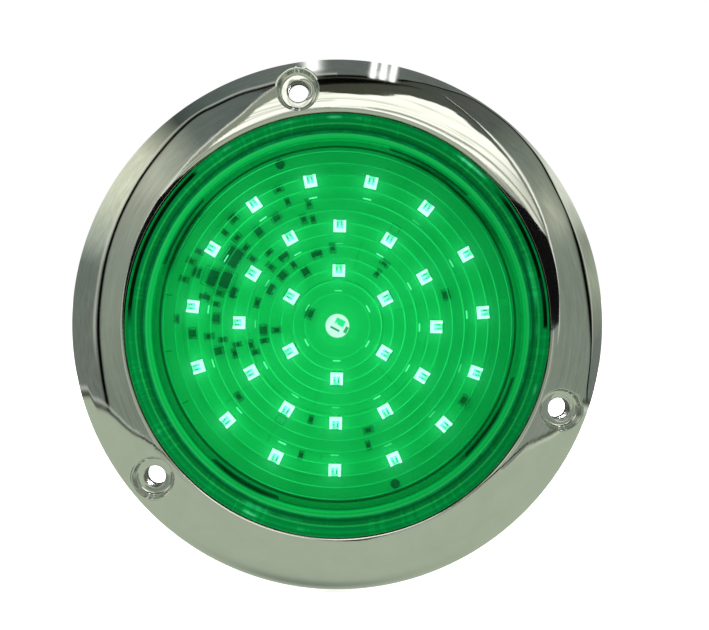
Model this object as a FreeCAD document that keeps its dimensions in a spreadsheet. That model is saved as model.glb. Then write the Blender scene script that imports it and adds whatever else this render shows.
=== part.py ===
import FreeCAD, Part
import math
import os
import Sketcher
from FreeCAD import Placement, Rotation, Vector

# Round surface-mount LED lamp in a chromed flange, with its plug and three wires.
#
# Frame: the lens faces -Y, +Z is up, +X is to the right as seen by someone
# facing the lens. The origin is on the lamp's axis in the mounting plane, which
# is the back face of the gasket. A "level" is a height towards the viewer, so
# level = -Y. A clock angle runs clockwise from +Z as seen from the front, which
# is a positive turn about +Y.

# ---------------------------------------------------------------- sizes
# (alias, value, note); lengths are millimetres, angles are degrees
ROWS = [
    # chromed flange ring
    ("flange_r", 69.85, "outer radius of the flange (5 1/2 in across)"),
    ("gasket_top", 2.0, "gasket thickness, and the level of the flange's back"),
    ("crest_r", 57.8, "radius of the dome's crest"),
    ("crest_level", 10.5, "level of the dome's crest"),
    ("dome_big_r", 22.0, "radius of the dome's broad arc"),
    ("shoulder_r", 66.0, "where the broad arc meets the shoulder arc"),
    ("lip_r", 0.45, "rolled lip beside the lens"),
    ("ledge_r", 54.85, "radius of the opening over the lens brim"),
    ("ledge_low", 4.3, "underside of the ledge"),
    ("pocket_r", 57.0, "pocket for the lamp's brim"),
    ("skirt_in_r", 58.8, "outside of the pocket wall"),
    ("skirt_out_r", 67.4, "inside of the outer skirt"),
    ("hollow_top", 8.1, "hollow underside, inner corner"),
    ("hollow_mid_r", 63.0, "hollow underside, middle"),
    ("hollow_mid", 7.6, "hollow underside, middle level"),
    ("hollow_out_r", 65.6, "hollow underside, outer corner"),
    ("hollow_out", 6.1, "hollow underside, outer corner level"),
    ("hollow_end", 4.2, "hollow underside, where the skirt starts"),
    ("screw_circle_r", 61.9, "screw circle radius (4 7/8 in across)"),
    ("screw_count", 3, "screw holes"),
    ("screw_hole_r", 2.75, "clearance hole for a No. 10 screw"),
    ("hole_cove", 0.35, "cove at the front of the screw hole"),
    ("boss_r", 5.95, "outside of the screw well's tube"),
    ("boss_top", 9.7, "level of the tube's flat top"),
    ("boss_round", 0.3, "rounding of the tube's outer edge"),
    ("well_r", 5.25, "inside of the screw well"),
    ("well_floor", 6.4, "level the screw head sits on"),
    ("well_round", 1.2, "quarter-round bead in the well's bottom corner"),
    ("well_cove", 0.25, "cove at the well's mouth"),
    ("well_flare", 0.6, "widening of the cut in front of the well"),
    ("flange_turn", -9.5, "clock angle of the first screw hole"),
    # foam gasket
    ("gasket_in_r", 57.6, "inner radius of the gasket"),
    ("gasket_out_r", 68.6, "outer radius of the gasket"),
    # lens
    ("rim_r", 56.5, "brim of the lens and rim of the housing"),
    ("brim_low", 2.6, "underside of the lens brim"),
    ("brim_top", 4.1, "top of the lens brim"),
    ("brim_step_r", 53.1, "small step in the brim"),
    ("brim_step", 3.7, "level of the brim inside the step"),
    ("cup_r", 50.9, "lens cup, outer radius at the brim"),
    ("cup_top_r", 50.3, "lens cup, outer radius at the top"),
    ("cup_shoulder", 7.1, "level where the cup's corner starts"),
    ("cup_round", 1.45, "arc of the cup's corner"),
    ("face_r", 49.2, "edge of the lens face"),
    ("face_edge", 8.2, "level of the face's edge"),
    ("face_top", 8.7, "level of the face's middle"),
    ("cup_in_r", 48.9, "inside of the cup"),
    ("cup_in_top_r", 48.2, "inside of the cup at the top"),
    ("step_high", 6.5, "inner face, the groove of each optic ring"),
    ("step_low", 5.7, "inner face, the tip of each optic ring"),
    ("step_first_r", 45.6, "outermost optic ring"),
    ("step_pitch", 3.09, "spacing of the optic rings"),
    ("step_run", 0.12, "radial width of each ring's steep side"),
    ("eye_r", 3.2, "bull's-eye in the middle"),
    ("eye_low", 5.2, "lowest point of the bull's-eye"),
    # lens seal
    ("seal_in_r", 50.6, "inner radius of the seal"),
    ("seal_out_r", 55.9, "outer radius of the seal"),
    # rear housing
    ("rim_low", 0.3, "back of the housing's rim"),
    ("rim_top", 2.0, "front of the housing's rim"),
    ("body_r", 51.3, "housing body, passes through the panel cut-out"),
    ("body_end", -5.6, "level where the body starts to taper"),
    ("back_r", 49.0, "housing at the back"),
    ("taper_end", -8.0, "level where the taper ends"),
    ("bore_r", 49.9, "inside of the housing in front of the board's back"),
    ("shelf_r", 46.6, "inside of the housing behind the board"),
    ("floor_in", -16.0, "inside of the housing's floor"),
    ("floor_out", -18.0, "back of the housing"),
    ("back_round", 2.0, "rounding at the housing's back edge"),
    ("post_r", 1.2, "board locating post"),
    ("post_gap", 0.08, "gap between a post and its hole in the board"),
    ("post_circle_r", 46.0, "radius the two posts stand on"),
    ("post_clock", 159.0, "clock angle of the first post; the other is opposite"),
    ("post_top", -4.2, "level of the posts' ends"),
    # socket in the back
    ("socket_z", -20.6, "height of the socket's middle"),
    ("socket_half_w", 15.5, "half the socket's width"),
    ("socket_half_tall", 6.5, "half the socket's height"),
    ("socket_round", 4.0, "corner radius of the socket"),
    ("socket_wall", 1.6, "wall around the socket"),
    ("socket_floor", -9.0, "level of the socket's floor"),
    ("shroud_top", -7.4, "inner end of the socket's shroud"),
    # circuit board
    ("board_r", 47.9, "board radius"),
    ("board_back", -6.6, "back of the board"),
    ("board_front", -5.0, "front of the board"),
    ("board_turn", 1.2, "clock angle the lamp is turned by"),
    ("retainer_in_r", 48.15, "board retainer, inner radius"),
    ("retainer_out_r", 49.8, "board retainer, outer radius"),
    ("retainer_top", -2.8, "front of the board retainer"),
    ("retainer_notch_r", 48.9, "depth radius of the retainer's notches"),
    ("retainer_notch_floor", -5.6, "level of the notches' floor"),
    # light-emitting diodes
    ("pad_top", -4.93, "front of the copper pads"),
    ("led_long", 3.4, "LED package, radial length"),
    ("led_wide", 3.4, "LED package width"),
    ("led_top", -3.1, "front of the LED packages"),
    ("led_window_r", 1.2, "clear window of an LED"),
    ("led_cup_floor", -3.9, "bottom of an LED's cup"),
    ("led_window_top", -3.2, "front of the clear window"),
    ("ring_a_r", 14.65, "inner LED ring radius"),
    ("ring_b_r", 26.65, "middle LED ring radius"),
    ("ring_c_r", 39.4, "outer LED ring radius"),
    ("ring_a_count", 6, "LEDs in the inner ring"),
    ("ring_b_count", 12, "LEDs in the middle ring"),
    ("ring_c_count", 15, "LEDs in the outer ring"),
    ("pad_reach", 2.05, "how far an LED's pads reach from its middle"),
    ("pad_start", 0.9, "where an LED's pads start"),
    ("pad_wide", 2.6, "width of an LED's pads"),
    # chips on the board
    ("resistor_long", 2.0, "chip resistor"),
    ("resistor_wide", 1.25, "chip resistor"),
    ("resistor_tall", 0.55, "chip resistor"),
    ("capacitor_long", 2.5, "chip capacitor"),
    ("capacitor_wide", 2.0, "chip capacitor"),
    ("capacitor_tall", 1.3, "chip capacitor"),
    ("diode_long", 4.3, "rectifier diode"),
    ("diode_wide", 2.6, "rectifier diode"),
    ("diode_tall", 2.1, "rectifier diode"),
    ("transistor_long", 2.9, "driver transistor"),
    ("transistor_wide", 1.3, "driver transistor"),
    ("transistor_tall", 1.0, "driver transistor"),
    ("regulator_long", 4.9, "current regulator chip"),
    ("regulator_wide", 3.9, "current regulator chip"),
    ("regulator_tall", 1.5, "current regulator chip"),
    # terminal pins
    ("pin_pitch", 8.7, "distance between pins"),
    ("pin_r", 1.98, "pin radius"),
    ("pin_round", 0.9, "rounding of the pins' ends"),
    ("pin_end", -16.6, "level of the pins' ends"),
    ("tail_r", 0.8, "thin tail of a pin"),
    ("tail_end", -5.5, "end of the tail inside the board"),
    ("solder_r", 1.7, "solder fillet on the board's back"),
    ("solder_low", -7.3, "solder fillet's thin end"),
    ("solder_thin", 0.15, "thickness of the solder at its thin end"),
    # plug
    ("plug_gap", 0.25, "running gap between plug and socket"),
    ("plug_nose", -9.6, "front end of the plug"),
    ("plug_seal_thick", 0.8, "face seal between plug and lamp"),
    ("plug_seal_inset_w", 1.2, "seal inside the collar, at each side"),
    ("plug_seal_inset_tall", 1.0, "seal inside the collar, above and below"),
    ("plug_seal_inset_round", 0.8, "seal corner radius, less than the collar's"),
    ("plug_seal_gap", 0.1, "seal's opening beyond the socket"),
    ("collar_half_w", 18.5, "half the plug collar's width"),
    ("collar_half_tall", 9.2, "half the plug collar's height"),
    ("collar_round", 6.0, "corner radius of the collar"),
    ("collar_end", -22.6, "back of the collar"),
    ("boot_inset", 1.6, "front of the boot inside the collar"),
    ("boot_inset_round", 1.0, "boot corner radius, less than the collar's"),
    ("tail_half_w", 14.0, "half the width of the plug's back end"),
    ("tail_half_tall", 5.4, "half the height of the plug's back end"),
    ("tail_round", 4.6, "corner radius of the back end"),
    ("plug_end", -36.0, "back of the plug"),
    ("rib_first", 2.2, "front of the first finger rib, behind the collar"),
    ("rib_pitch", 2.4, "spacing of the finger ribs"),
    ("rib_thick", 1.0, "thickness of a rib, front to back"),
    ("rib_inset", 1.1, "first rib inside the collar, at each side"),
    ("rib_inset_step", 0.85, "further inset of each next rib"),
    ("rib_depth", 3.0, "depth of a rib, outside to inside"),
    ("rib_inset_round", 1.6, "a rib's inner corner radius, less than its outer"),
    ("contact_in_r", 2.03, "contact sleeve inside"),
    ("contact_out_r", 2.7, "contact sleeve outside"),
    ("contact_front", -10.2, "front of the contacts"),
    ("contact_step", -17.4, "end of the sleeve"),
    ("contact_end", -24.0, "end of the crimp barrel"),
    ("web_front", 0.4, "solid web of a contact, in front of the step"),
    ("web_back", 1.2, "solid web of a contact, behind the step"),
    # wires
    ("wire_r", 1.5, "wire insulation radius"),
    ("strand_r", 0.78, "bundle of strands"),
    ("strand_start", 1.4, "where the strands start, behind the contact's step"),
    ("wire_start", 25.0, "where the insulation starts, behind the mounting plane"),
    ("wire_straight_end", 40.0, "end of the straight run, behind the mounting plane"),
    ("wire_bend_r", 46.0, "radius of the wire's bends"),
    ("wire_bend", 24.0, "angle of each bend"),
    ("wire_tail_run", 16.0, "straight run at the end"),
    ("strip_run", 7.0, "bare end of the strands"),
    ("crimp_r", 1.6, "crimp barrel radius"),
]

OVERRUN = 1.0  # how far a cut runs past its solid, or a block sinks into one
LEFT, RIGHT = 1, -1  # side of the path on which an arc's centre lies


class Dim:
    """A number together with the expression that gives it from the sheet."""

    def __init__(self, value, text):
        self.value = float(value)
        self.text = text

    @staticmethod
    def of(number):
        if isinstance(number, Dim):
            return number
        return Dim(number, "(%s)" % repr(float(number)))

    def combine(self, other, sign, work):
        other = Dim.of(other)
        text = "(%s %s %s)" % (self.text, sign, other.text)
        return Dim(work(self.value, other.value), text)

    def __add__(self, other):
        return self.combine(other, "+", lambda x, y: x + y)

    def __sub__(self, other):
        return self.combine(other, "-", lambda x, y: x - y)

    def __mul__(self, other):
        return self.combine(other, "*", lambda x, y: x * y)

    def __truediv__(self, other):
        return self.combine(other, "/", lambda x, y: x / y)

    def __radd__(self, other):
        return Dim.of(other) + self

    def __rsub__(self, other):
        return Dim.of(other) - self

    def __rmul__(self, other):
        return Dim.of(other) * self

    def __neg__(self):
        return Dim(-self.value, "(0 - %s)" % self.text)

    def sqrt(self):
        return Dim(math.sqrt(self.value), "sqrt(%s)" % self.text)


class Sizes:
    """Holds one Dim for each row of the sheet, under the row's alias."""


ZERO = Dim(0.0, "0")
doc = FreeCAD.newDocument("RoundLedLamp")
sheet = doc.addObject("Spreadsheet::Sheet", "Sizes")
sheet.Label = "Sizes"
size = Sizes()
for row, (alias, value, note) in enumerate(ROWS, start=1):
    sheet.set("A%d" % row, alias)
    sheet.set("B%d" % row, repr(value))
    sheet.set("C%d" % row, note)
    sheet.setAlias("B%d" % row, alias)
    setattr(size, alias, Dim(value, "Sizes.%s" % alias))
doc.recompute()

# ---------------------------------------------------------------- bodies and sketches
PIECES = []  # (body, number of solids it must have)


def new_body(label, solids=1):
    body = doc.addObject("PartDesign::Body", label)
    body.Label = label
    PIECES.append((body, solids))
    return body


def origin_item(body, role):
    for item in body.Origin.OriginFeatures:
        if item.Role == role:
            return item
    raise RuntimeError("no origin item " + role)


def sketch_on(body, role, name, offset=None):
    sketch = body.newObject("Sketcher::SketchObject", name)
    sketch.AttachmentSupport = [(origin_item(body, role), "")]
    sketch.MapMode = "FlatFace"
    if offset is not None:
        offset = Dim.of(offset)
        sketch.AttachmentOffset = Placement(Vector(0, 0, offset.value), Rotation())
        sketch.setExpression("AttachmentOffset.Base.z", offset.text)
    return sketch


class Profile:
    """Collects geometry and constraints for one sketch, then binds them."""

    def __init__(self, sketch):
        self.sketch = sketch
        self.constraints = []
        self.bindings = []

    def measure(self, dim, kind, *where):
        """Adds a dimensional constraint and notes its expression."""
        self.bindings.append((len(self.constraints), dim.text))
        self.constraints.append(Sketcher.Constraint(kind, *where, dim.value))

    def join(self, kind, *where):
        self.constraints.append(Sketcher.Constraint(kind, *where))

    def pin_point(self, edge, end, x, y):
        # a zero distance is not a valid dimension, so the point goes on the axis
        for dim, kind, axis in ((Dim.of(x), "DistanceX", -2), (Dim.of(y), "DistanceY", -1)):
            if abs(dim.value) < 1e-9:
                self.join("PointOnObject", edge, end, axis)
            else:
                self.measure(dim, kind, -1, 1, edge, end)

    def add_arc(self, start, finish, radius, side):
        """Adds an arc; returns which of its ends lie at start and finish."""
        chord = finish - start
        lift = math.sqrt(max(radius ** 2 - (chord.Length / 2.0) ** 2, 0.0))
        normal = Vector(-chord.y, chord.x, 0)
        normal.normalize()
        centre = (start + finish) * 0.5 + normal * (lift * side)
        # arcs run anticlockwise, so one with its centre on the right is reversed
        first, last = (start, finish) if side == LEFT else (finish, start)
        angle_0 = math.atan2(first.y - centre.y, first.x - centre.x)
        angle_1 = math.atan2(last.y - centre.y, last.x - centre.x)
        if angle_1 <= angle_0:
            angle_1 += 2 * math.pi
        circle = Part.Circle(centre, Vector(0, 0, 1), radius)
        self.sketch.addGeometry(Part.ArcOfCircle(circle, angle_0, angle_1), False)
        return (1, 2) if side == LEFT else (2, 1)

    def loop(self, points, arcs=None, closed=True):
        """Straight and arc edges through points. arcs[i] = (radius, side)
        makes the edge after point i an arc."""
        arcs = arcs or {}
        base = self.sketch.GeometryCount
        edges = len(points) if closed else len(points) - 1
        spots = [Vector(Dim.of(x).value, Dim.of(y).value, 0) for x, y in points]
        ends = []
        for i in range(edges):
            start, finish = spots[i], spots[(i + 1) % len(points)]
            if i in arcs:
                radius, side = arcs[i]
                ends.append(self.add_arc(start, finish, Dim.of(radius).value, side))
            else:
                self.sketch.addGeometry(Part.LineSegment(start, finish), False)
                ends.append((1, 2))
        for i in range(edges):
            if closed or i < edges - 1:
                j = (i + 1) % edges
                self.join("Coincident", base + i, ends[i][1], base + j, ends[j][0])
            self.pin_point(base + i, ends[i][0], *points[i])
            if i in arcs:
                self.measure(Dim.of(arcs[i][0]), "Radius", base + i)
        if not closed:
            self.pin_point(base + edges - 1, ends[-1][1], *points[-1])

    def circle(self, x, y, radius):
        x, y, radius = Dim.of(x), Dim.of(y), Dim.of(radius)
        circle = Part.Circle(Vector(x.value, y.value, 0), Vector(0, 0, 1), radius.value)
        edge = self.sketch.addGeometry(circle, False)
        self.pin_point(edge, 3, x, y)
        self.measure(radius, "Radius", edge)

    def box(self, x, y, width, height):
        x, y = Dim.of(x), Dim.of(y)
        self.loop([(x - width / 2, y - height / 2), (x + width / 2, y - height / 2),
                   (x + width / 2, y + height / 2), (x - width / 2, y + height / 2)])

    def rounded(self, y, half_w, half_tall, corner):
        """Rounded rectangle with its middle at (0, y)."""
        right, top, low = half_w - corner, y + half_tall, y - half_tall
        self.loop([(-right, top), (right, top), (half_w, top - corner), (half_w, low + corner),
                   (right, low), (-right, low), (-half_w, low + corner), (-half_w, top - corner)],
                  {i: (corner, RIGHT) for i in (1, 3, 5, 7)})

    def axis_line(self, x0, x1, y):
        """A construction line along the sketch's x direction."""
        line = Part.LineSegment(Vector(x0, y.value, 0), Vector(x1, y.value, 0))
        edge = self.sketch.addGeometry(line, True)
        self.pin_point(edge, 1, x0, y)
        self.pin_point(edge, 2, x1, y)

    def done(self):
        self.sketch.addConstraint(self.constraints)
        for index, text in self.bindings:
            if "Sizes." in text:
                self.sketch.setExpression("Constraints[%d]" % index, text)
        return self.sketch


# ---------------------------------------------------------------- features
def turned(body, kind, name, sketch, axis):
    feature = body.newObject("PartDesign::" + kind, name)
    feature.Profile = sketch
    feature.ReferenceAxis = (sketch, [axis])
    feature.Angle = 360.0
    return feature


def lathe(body, kind, name, points, arcs=None):
    """Turns a profile in (radius, level) about the lamp's axis."""
    profile = Profile(sketch_on(body, "XY_Plane", name + "_profile"))
    # sketch y is minus the level, which mirrors the arcs
    mirrored = {i: (radius, -side) for i, (radius, side) in (arcs or {}).items()}
    profile.loop([(Dim.of(radius), -Dim.of(level)) for radius, level in points], mirrored)
    return turned(body, kind, name, profile.done(), "V_Axis")


def revolve(body, name, points, arcs=None):
    return lathe(body, "Revolution", name, points, arcs)


def groove(body, name, points, arcs=None):
    return lathe(body, "Groove", name, points, arcs)


def drawn_at(body, name, level, draw):
    """A sketch parallel to the front, filled in by draw(profile)."""
    profile = Profile(sketch_on(body, "XZ_Plane", name, level))
    draw(profile)
    return profile.done()


def extrude(body, kind, name, start, length, draw):
    sketch = drawn_at(body, name + "_sketch", start, draw)
    feature = body.newObject("PartDesign::" + kind, name)
    feature.Profile = sketch
    feature.Length = length.value
    feature.setExpression("Length", length.text)
    return feature


def pad(body, name, low, high, draw):
    """Pads what draw() puts in a sketch from one level up to another."""
    return extrude(body, "Pad", name, low, high - low, draw)


def pocket(body, name, high, low, draw):
    """Cuts what draw() puts in a sketch from one level down to another."""
    return extrude(body, "Pocket", name, high, high - low, draw)


def polar(body, name, originals, count, axis):
    pattern = body.newObject("PartDesign::PolarPattern", name)
    pattern.Originals = originals
    pattern.Axis = axis
    pattern.Angle = 360.0
    pattern.Occurrences = int(count.value)
    pattern.setExpression("Occurrences", count.text)
    body.Tip = pattern


def at_each_screw(body, name, original):
    axis = (origin_item(body, "Y_Axis"), [""])
    polar(body, name, [original], size.screw_count, axis)


def turn(body, angle):
    body.Placement = Placement(Vector(0, 0, 0), Rotation(Vector(0, 1, 0), angle.value))
    body.setExpression("Placement.Rotation.Angle", angle.text)


def at_clock(radius, clock):
    """Front-plane sketch coordinates of a radius and clock angle."""
    angle = math.radians(clock)
    return radius * math.sin(angle), radius * math.cos(angle)


# ---------------------------------------------------------------- shared outlines
PIN_SLOTS = (-1, 0, 1)  # places of the pins, in pitches from the middle one


def grown(outline, extra):
    return tuple(side + extra for side in outline)


def inset(outline, *cuts):
    return tuple(side - cut for side, cut in zip(outline, cuts))


# half width, half height and corner radius of rounded rectangles round the socket's middle
SOCKET = (size.socket_half_w, size.socket_half_tall, size.socket_round)
SHROUD = grown(SOCKET, size.socket_wall)
COLLAR = (size.collar_half_w, size.collar_half_tall, size.collar_round)
PLUG_TAIL = (size.tail_half_w, size.tail_half_tall, size.tail_round)
PLUG_SEAL_BACK = size.floor_out - size.plug_seal_thick


def discs(*radii):
    """Circles about the sketch's origin; an inner one leaves a hole."""
    def draw(profile):
        for radius in radii:
            profile.circle(0, 0, radius)
    return draw


def around_socket(*outlines):
    def draw(profile):
        for outline in outlines:
            profile.rounded(size.socket_z, *outline)
    return draw


def at_pins(radius):
    def draw(profile):
        for slot in PIN_SLOTS:
            profile.circle(size.pin_pitch * slot, size.socket_z, radius)
    return draw


def at_posts(radius):
    def draw(profile):
        x, y = at_clock(size.post_circle_r, size.post_clock.value)
        for side in (1.0, -1.0):
            profile.circle(x * side, y * side, radius)
    return draw


# ---------------------------------------------------------------- flange and gasket
SCREW_AXIS_BACK, SCREW_AXIS_FRONT = 10.0, -20.0  # Y of the screw axis line's ends
TRIM_RUN = 4.0  # how far inside the opening the bosses are trimmed
TRIM_RISE = 0.1  # how far in front of the bosses the trim reaches


def rise(radius, run):
    """Height above an arc's centre of its point at a given run."""
    return (radius * radius - run * run).sqrt()


def flange_shell(flange):
    dome_centre = size.crest_level - size.dome_big_r
    shoulder_run = size.shoulder_r - size.crest_r
    shoulder_level = dome_centre + rise(size.dome_big_r, shoulder_run)
    # the shoulder arc continues the dome's slope and ends upright at the flange's edge
    lean = shoulder_run / size.dome_big_r
    shoulder_arc = (size.flange_r - size.shoulder_r) / (1 - lean)
    edge_level = shoulder_level - shoulder_arc * (1 - lean * lean).sqrt()
    # the lip is a small round between the opening's wall and the dome, tangent to both
    inner = size.dome_big_r - size.lip_r
    lip_run = size.crest_r - size.ledge_r - size.lip_r
    lip_mid = dome_centre + rise(inner, lip_run)
    lip_end_r = size.crest_r - lip_run * size.dome_big_r / inner
    lip_end = dome_centre + rise(size.dome_big_r, size.crest_r - lip_end_r)
    revolve(flange, "flange_shell", [
        (size.pocket_r, size.gasket_top),
        (size.pocket_r, size.ledge_low),
        (size.ledge_r, size.ledge_low),
        (size.ledge_r, lip_mid),
        (lip_end_r, lip_end),
        (size.crest_r, size.crest_level),
        (size.shoulder_r, shoulder_level),
        (size.flange_r, edge_level),
        (size.flange_r, size.gasket_top),
        (size.skirt_out_r, size.gasket_top),
        (size.skirt_out_r, size.hollow_end),
        (size.hollow_out_r, size.hollow_out),
        (size.hollow_mid_r, size.hollow_mid),
        (size.skirt_in_r, size.hollow_top),
        (size.skirt_in_r, size.gasket_top),
    ], {3: (size.lip_r, RIGHT), 4: (size.dome_big_r, RIGHT), 5: (size.dome_big_r, RIGHT),
        6: (shoulder_arc, RIGHT)})


def turned_about_screw(body, kind, name, sketch_name, points, arcs):
    """Turns a profile in (radius from the screw's axis, level) at the top screw."""
    profile = Profile(sketch_on(body, "YZ_Plane", sketch_name))
    profile.axis_line(SCREW_AXIS_FRONT, SCREW_AXIS_BACK, size.screw_circle_r)
    profile.loop([(-level, size.screw_circle_r + radius) for radius, level in points], arcs)
    return turned(body, kind, name, profile.done(), "Axis0")


def make_flange():
    flange = new_body("chrome_flange")
    flange_shell(flange)
    boss = turned_about_screw(flange, "Revolution", "screw_boss", "boss_profile", [
        (ZERO, size.gasket_top),
        (size.boss_r, size.gasket_top),
        (size.boss_r, size.boss_top - size.boss_round),
        (size.boss_r - size.boss_round, size.boss_top),
        (ZERO, size.boss_top),
    ], {2: (size.boss_round, LEFT)})
    at_each_screw(flange, "screw_bosses", boss)

    # the bosses are trimmed back to the pocket and the opening
    groove(flange, "lamp_pocket", [
        (size.ledge_r - TRIM_RUN, size.gasket_top - OVERRUN),
        (size.pocket_r, size.gasket_top - OVERRUN),
        (size.pocket_r, size.ledge_low),
        (size.ledge_r, size.ledge_low),
        (size.ledge_r, size.boss_top + TRIM_RISE),
        (size.ledge_r - TRIM_RUN, size.boss_top + TRIM_RISE),
    ])

    well = turned_about_screw(flange, "Groove", "screw_well", "well_profile", [
        (ZERO, size.gasket_top - OVERRUN),
        (size.screw_hole_r, size.gasket_top - OVERRUN),
        (size.screw_hole_r, size.well_floor - size.hole_cove),
        (size.screw_hole_r + size.hole_cove, size.well_floor),
        (size.well_r - size.well_round, size.well_floor),
        (size.well_r, size.well_floor + size.well_round),
        (size.well_r, size.boss_top - size.well_cove),
        (size.well_r + size.well_cove, size.boss_top),
        (size.well_r + size.well_flare, size.crest_level + OVERRUN),
        (ZERO, size.crest_level + OVERRUN),
    ], {2: (size.hole_cove, LEFT), 4: (size.well_round, RIGHT), 6: (size.well_cove, LEFT)})
    at_each_screw(flange, "screw_wells", well)
    turn(flange, size.flange_turn)


def make_gasket():
    gasket = new_body("mounting_gasket")
    pad(gasket, "gasket_ring", ZERO, size.gasket_top, discs(size.gasket_out_r, size.gasket_in_r))
    hole = pocket(gasket, "gasket_hole", size.gasket_top + OVERRUN, -size.gasket_top,
                  lambda profile: profile.circle(0, size.screw_circle_r, size.screw_hole_r))
    at_each_screw(gasket, "gasket_holes", hole)
    turn(gasket, size.flange_turn)


make_flange()
make_gasket()

# ---------------------------------------------------------------- lens and its seal
OPTIC_RINGS = 13


def make_lens():
    lens = new_body("lens")
    bulge = size.face_top - size.face_edge
    face_arc = (size.face_r * size.face_r + bulge * bulge) / (2 * bulge)
    points = [
        (size.cup_in_r, size.brim_low),
        (size.rim_r, size.brim_low),
        (size.rim_r, size.brim_top),
        (size.brim_step_r, size.brim_top),
        (size.brim_step_r, size.brim_step),
        (size.cup_r, size.brim_step),
        (size.cup_top_r, size.cup_shoulder),
        (size.face_r, size.face_edge),
        (ZERO, size.face_top),
        (ZERO, size.eye_low),
        (size.eye_r, size.step_high),
    ]
    # from the middle outwards, each ring drops to its tip and slopes up to the next
    for ring in reversed(range(OPTIC_RINGS)):
        tip_r = size.step_first_r - size.step_pitch * ring
        points.append((tip_r - size.step_run, size.step_high))
        points.append((tip_r, size.step_low))
    points.append((size.cup_in_top_r, size.step_high))
    revolve(lens, "lens_body", points, {6: (size.cup_round, LEFT), 7: (face_arc, LEFT)})


def make_lens_seal():
    seal = new_body("lens_seal")
    pad(seal, "seal_ring", size.rim_top, size.brim_low, discs(size.seal_out_r, size.seal_in_r))


make_lens()
make_lens_seal()


# ---------------------------------------------------------------- housing and potting
def make_housing():
    housing = new_body("rear_housing")
    revolve(housing, "housing_cup", [
        (ZERO, size.floor_out),
        (size.back_r - size.back_round, size.floor_out),
        (size.back_r, size.floor_out + size.back_round),
        (size.back_r, size.taper_end),
        (size.body_r, size.body_end),
        (size.body_r, size.rim_low),
        (size.rim_r, size.rim_low),
        (size.rim_r, size.rim_top),
        (size.bore_r, size.rim_top),
        (size.bore_r, size.board_back),
        (size.shelf_r, size.board_back),
        (size.shelf_r, size.floor_in),
        (ZERO, size.floor_in),
    ], {1: (size.back_round, LEFT)})
    pad(housing, "socket_shroud", size.floor_in - OVERRUN, size.shroud_top, around_socket(SHROUD))
    pad(housing, "locating_posts", size.floor_in - OVERRUN, size.post_top, at_posts(size.post_r))
    pocket(housing, "socket_recess", size.socket_floor, size.floor_out - 2 * OVERRUN,
           around_socket(SOCKET))
    pocket(housing, "tail_holes", size.shroud_top + OVERRUN, size.socket_floor - OVERRUN,
           at_pins(size.tail_r))
    turn(housing, size.board_turn)


def make_potting():
    """Fills the housing behind the board, around the shroud and the posts."""
    potting = new_body("potting_compound")

    def draw_fill(profile):
        profile.circle(0, 0, size.shelf_r)
        profile.rounded(size.socket_z, *SHROUD)

    pad(potting, "potting_fill", size.floor_in, size.shroud_top, draw_fill)
    pocket(potting, "post_room", size.shroud_top + OVERRUN, size.floor_in - OVERRUN,
           at_posts(size.post_r))
    turn(potting, size.board_turn)


make_housing()
make_potting()

# ---------------------------------------------------------------- board and retainer
# (clock angle of the middle, span at the outside) of each retainer notch, degrees
RETAINER_NOTCHES = [(30.7, 32.0), (121.2, 32.0), (210.8, 27.0), (301.2, 27.0)]
NOTCH_OUT_R = 51.0  # outer end of the notches, beyond the ring
NOTCH_TAPER = 2.0  # degrees a notch narrows at each end, from outside to inside
NOTCH_STEPS = 6  # straight edges along each side of a notch


def make_board():
    board = new_body("circuit_board")
    pad(board, "board_disc", size.board_back, size.board_front, discs(size.board_r))
    pocket(board, "post_holes", size.board_front + OVERRUN, size.board_back - OVERRUN,
           at_posts(size.post_r + size.post_gap))
    pocket(board, "tail_bores", size.tail_end, size.board_back - OVERRUN, at_pins(size.tail_r))
    turn(board, size.board_turn)


def clock_row(radius, first, last):
    """Points along a circle between two clock angles."""
    return [at_clock(radius, first + (last - first) * i / NOTCH_STEPS)
            for i in range(NOTCH_STEPS + 1)]


def draw_notches(profile):
    """Tapered outlines that open outwards across the ring."""
    for clock, span in RETAINER_NOTCHES:
        middle = clock - size.board_turn.value
        first, last = middle - span / 2.0, middle + span / 2.0
        outer = clock_row(NOTCH_OUT_R, first, last)
        inner = clock_row(size.retainer_notch_r.value, last - NOTCH_TAPER, first + NOTCH_TAPER)
        profile.loop(outer + inner)


def make_retainer():
    retainer = new_body("board_retainer")
    pad(retainer, "retainer_ring", size.board_back, size.retainer_top,
        discs(size.retainer_out_r, size.retainer_in_r))
    pocket(retainer, "retainer_notches", size.retainer_top + OVERRUN, size.retainer_notch_floor,
           draw_notches)
    turn(retainer, size.board_turn)


make_board()
make_retainer()

# ---------------------------------------------------------------- LEDs
# (tag, radius, number of LEDs) of each ring; one more LED stands in the middle
LED_RINGS = [
    ("a", size.ring_a_r, size.ring_a_count),
    ("b", size.ring_b_r, size.ring_b_count),
    ("c", size.ring_c_r, size.ring_c_count),
]
LED_COUNT = 1 + sum(int(count.value) for tag, radius, count in LED_RINGS)


def led_piece(label, tag, solids, make):
    """Repeats what make(body, name, radius) adds on the rings and in the middle."""
    body = new_body(label, solids)
    for ring, radius, count in LED_RINGS:
        features = make(body, tag + "_" + ring, radius)
        axis = (features[0].Profile[0], ["N_Axis"])
        polar(body, tag + "_ring_" + ring, features, count, axis)
    make(body, tag + "_mid", ZERO)
    turn(body, size.board_turn)


def led_package(body, name, radius):
    return [
        pad(body, name, size.pad_top, size.led_top,
            lambda profile: profile.box(0, -radius, size.led_wide, size.led_long)),
        pocket(body, name + "_cup", size.led_top, size.led_cup_floor,
               lambda profile: profile.circle(0, -radius, size.led_window_r)),
    ]


def led_window(body, name, radius):
    return [pad(body, name, size.led_cup_floor, size.led_window_top,
                lambda profile: profile.circle(0, -radius, size.led_window_r))]


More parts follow.
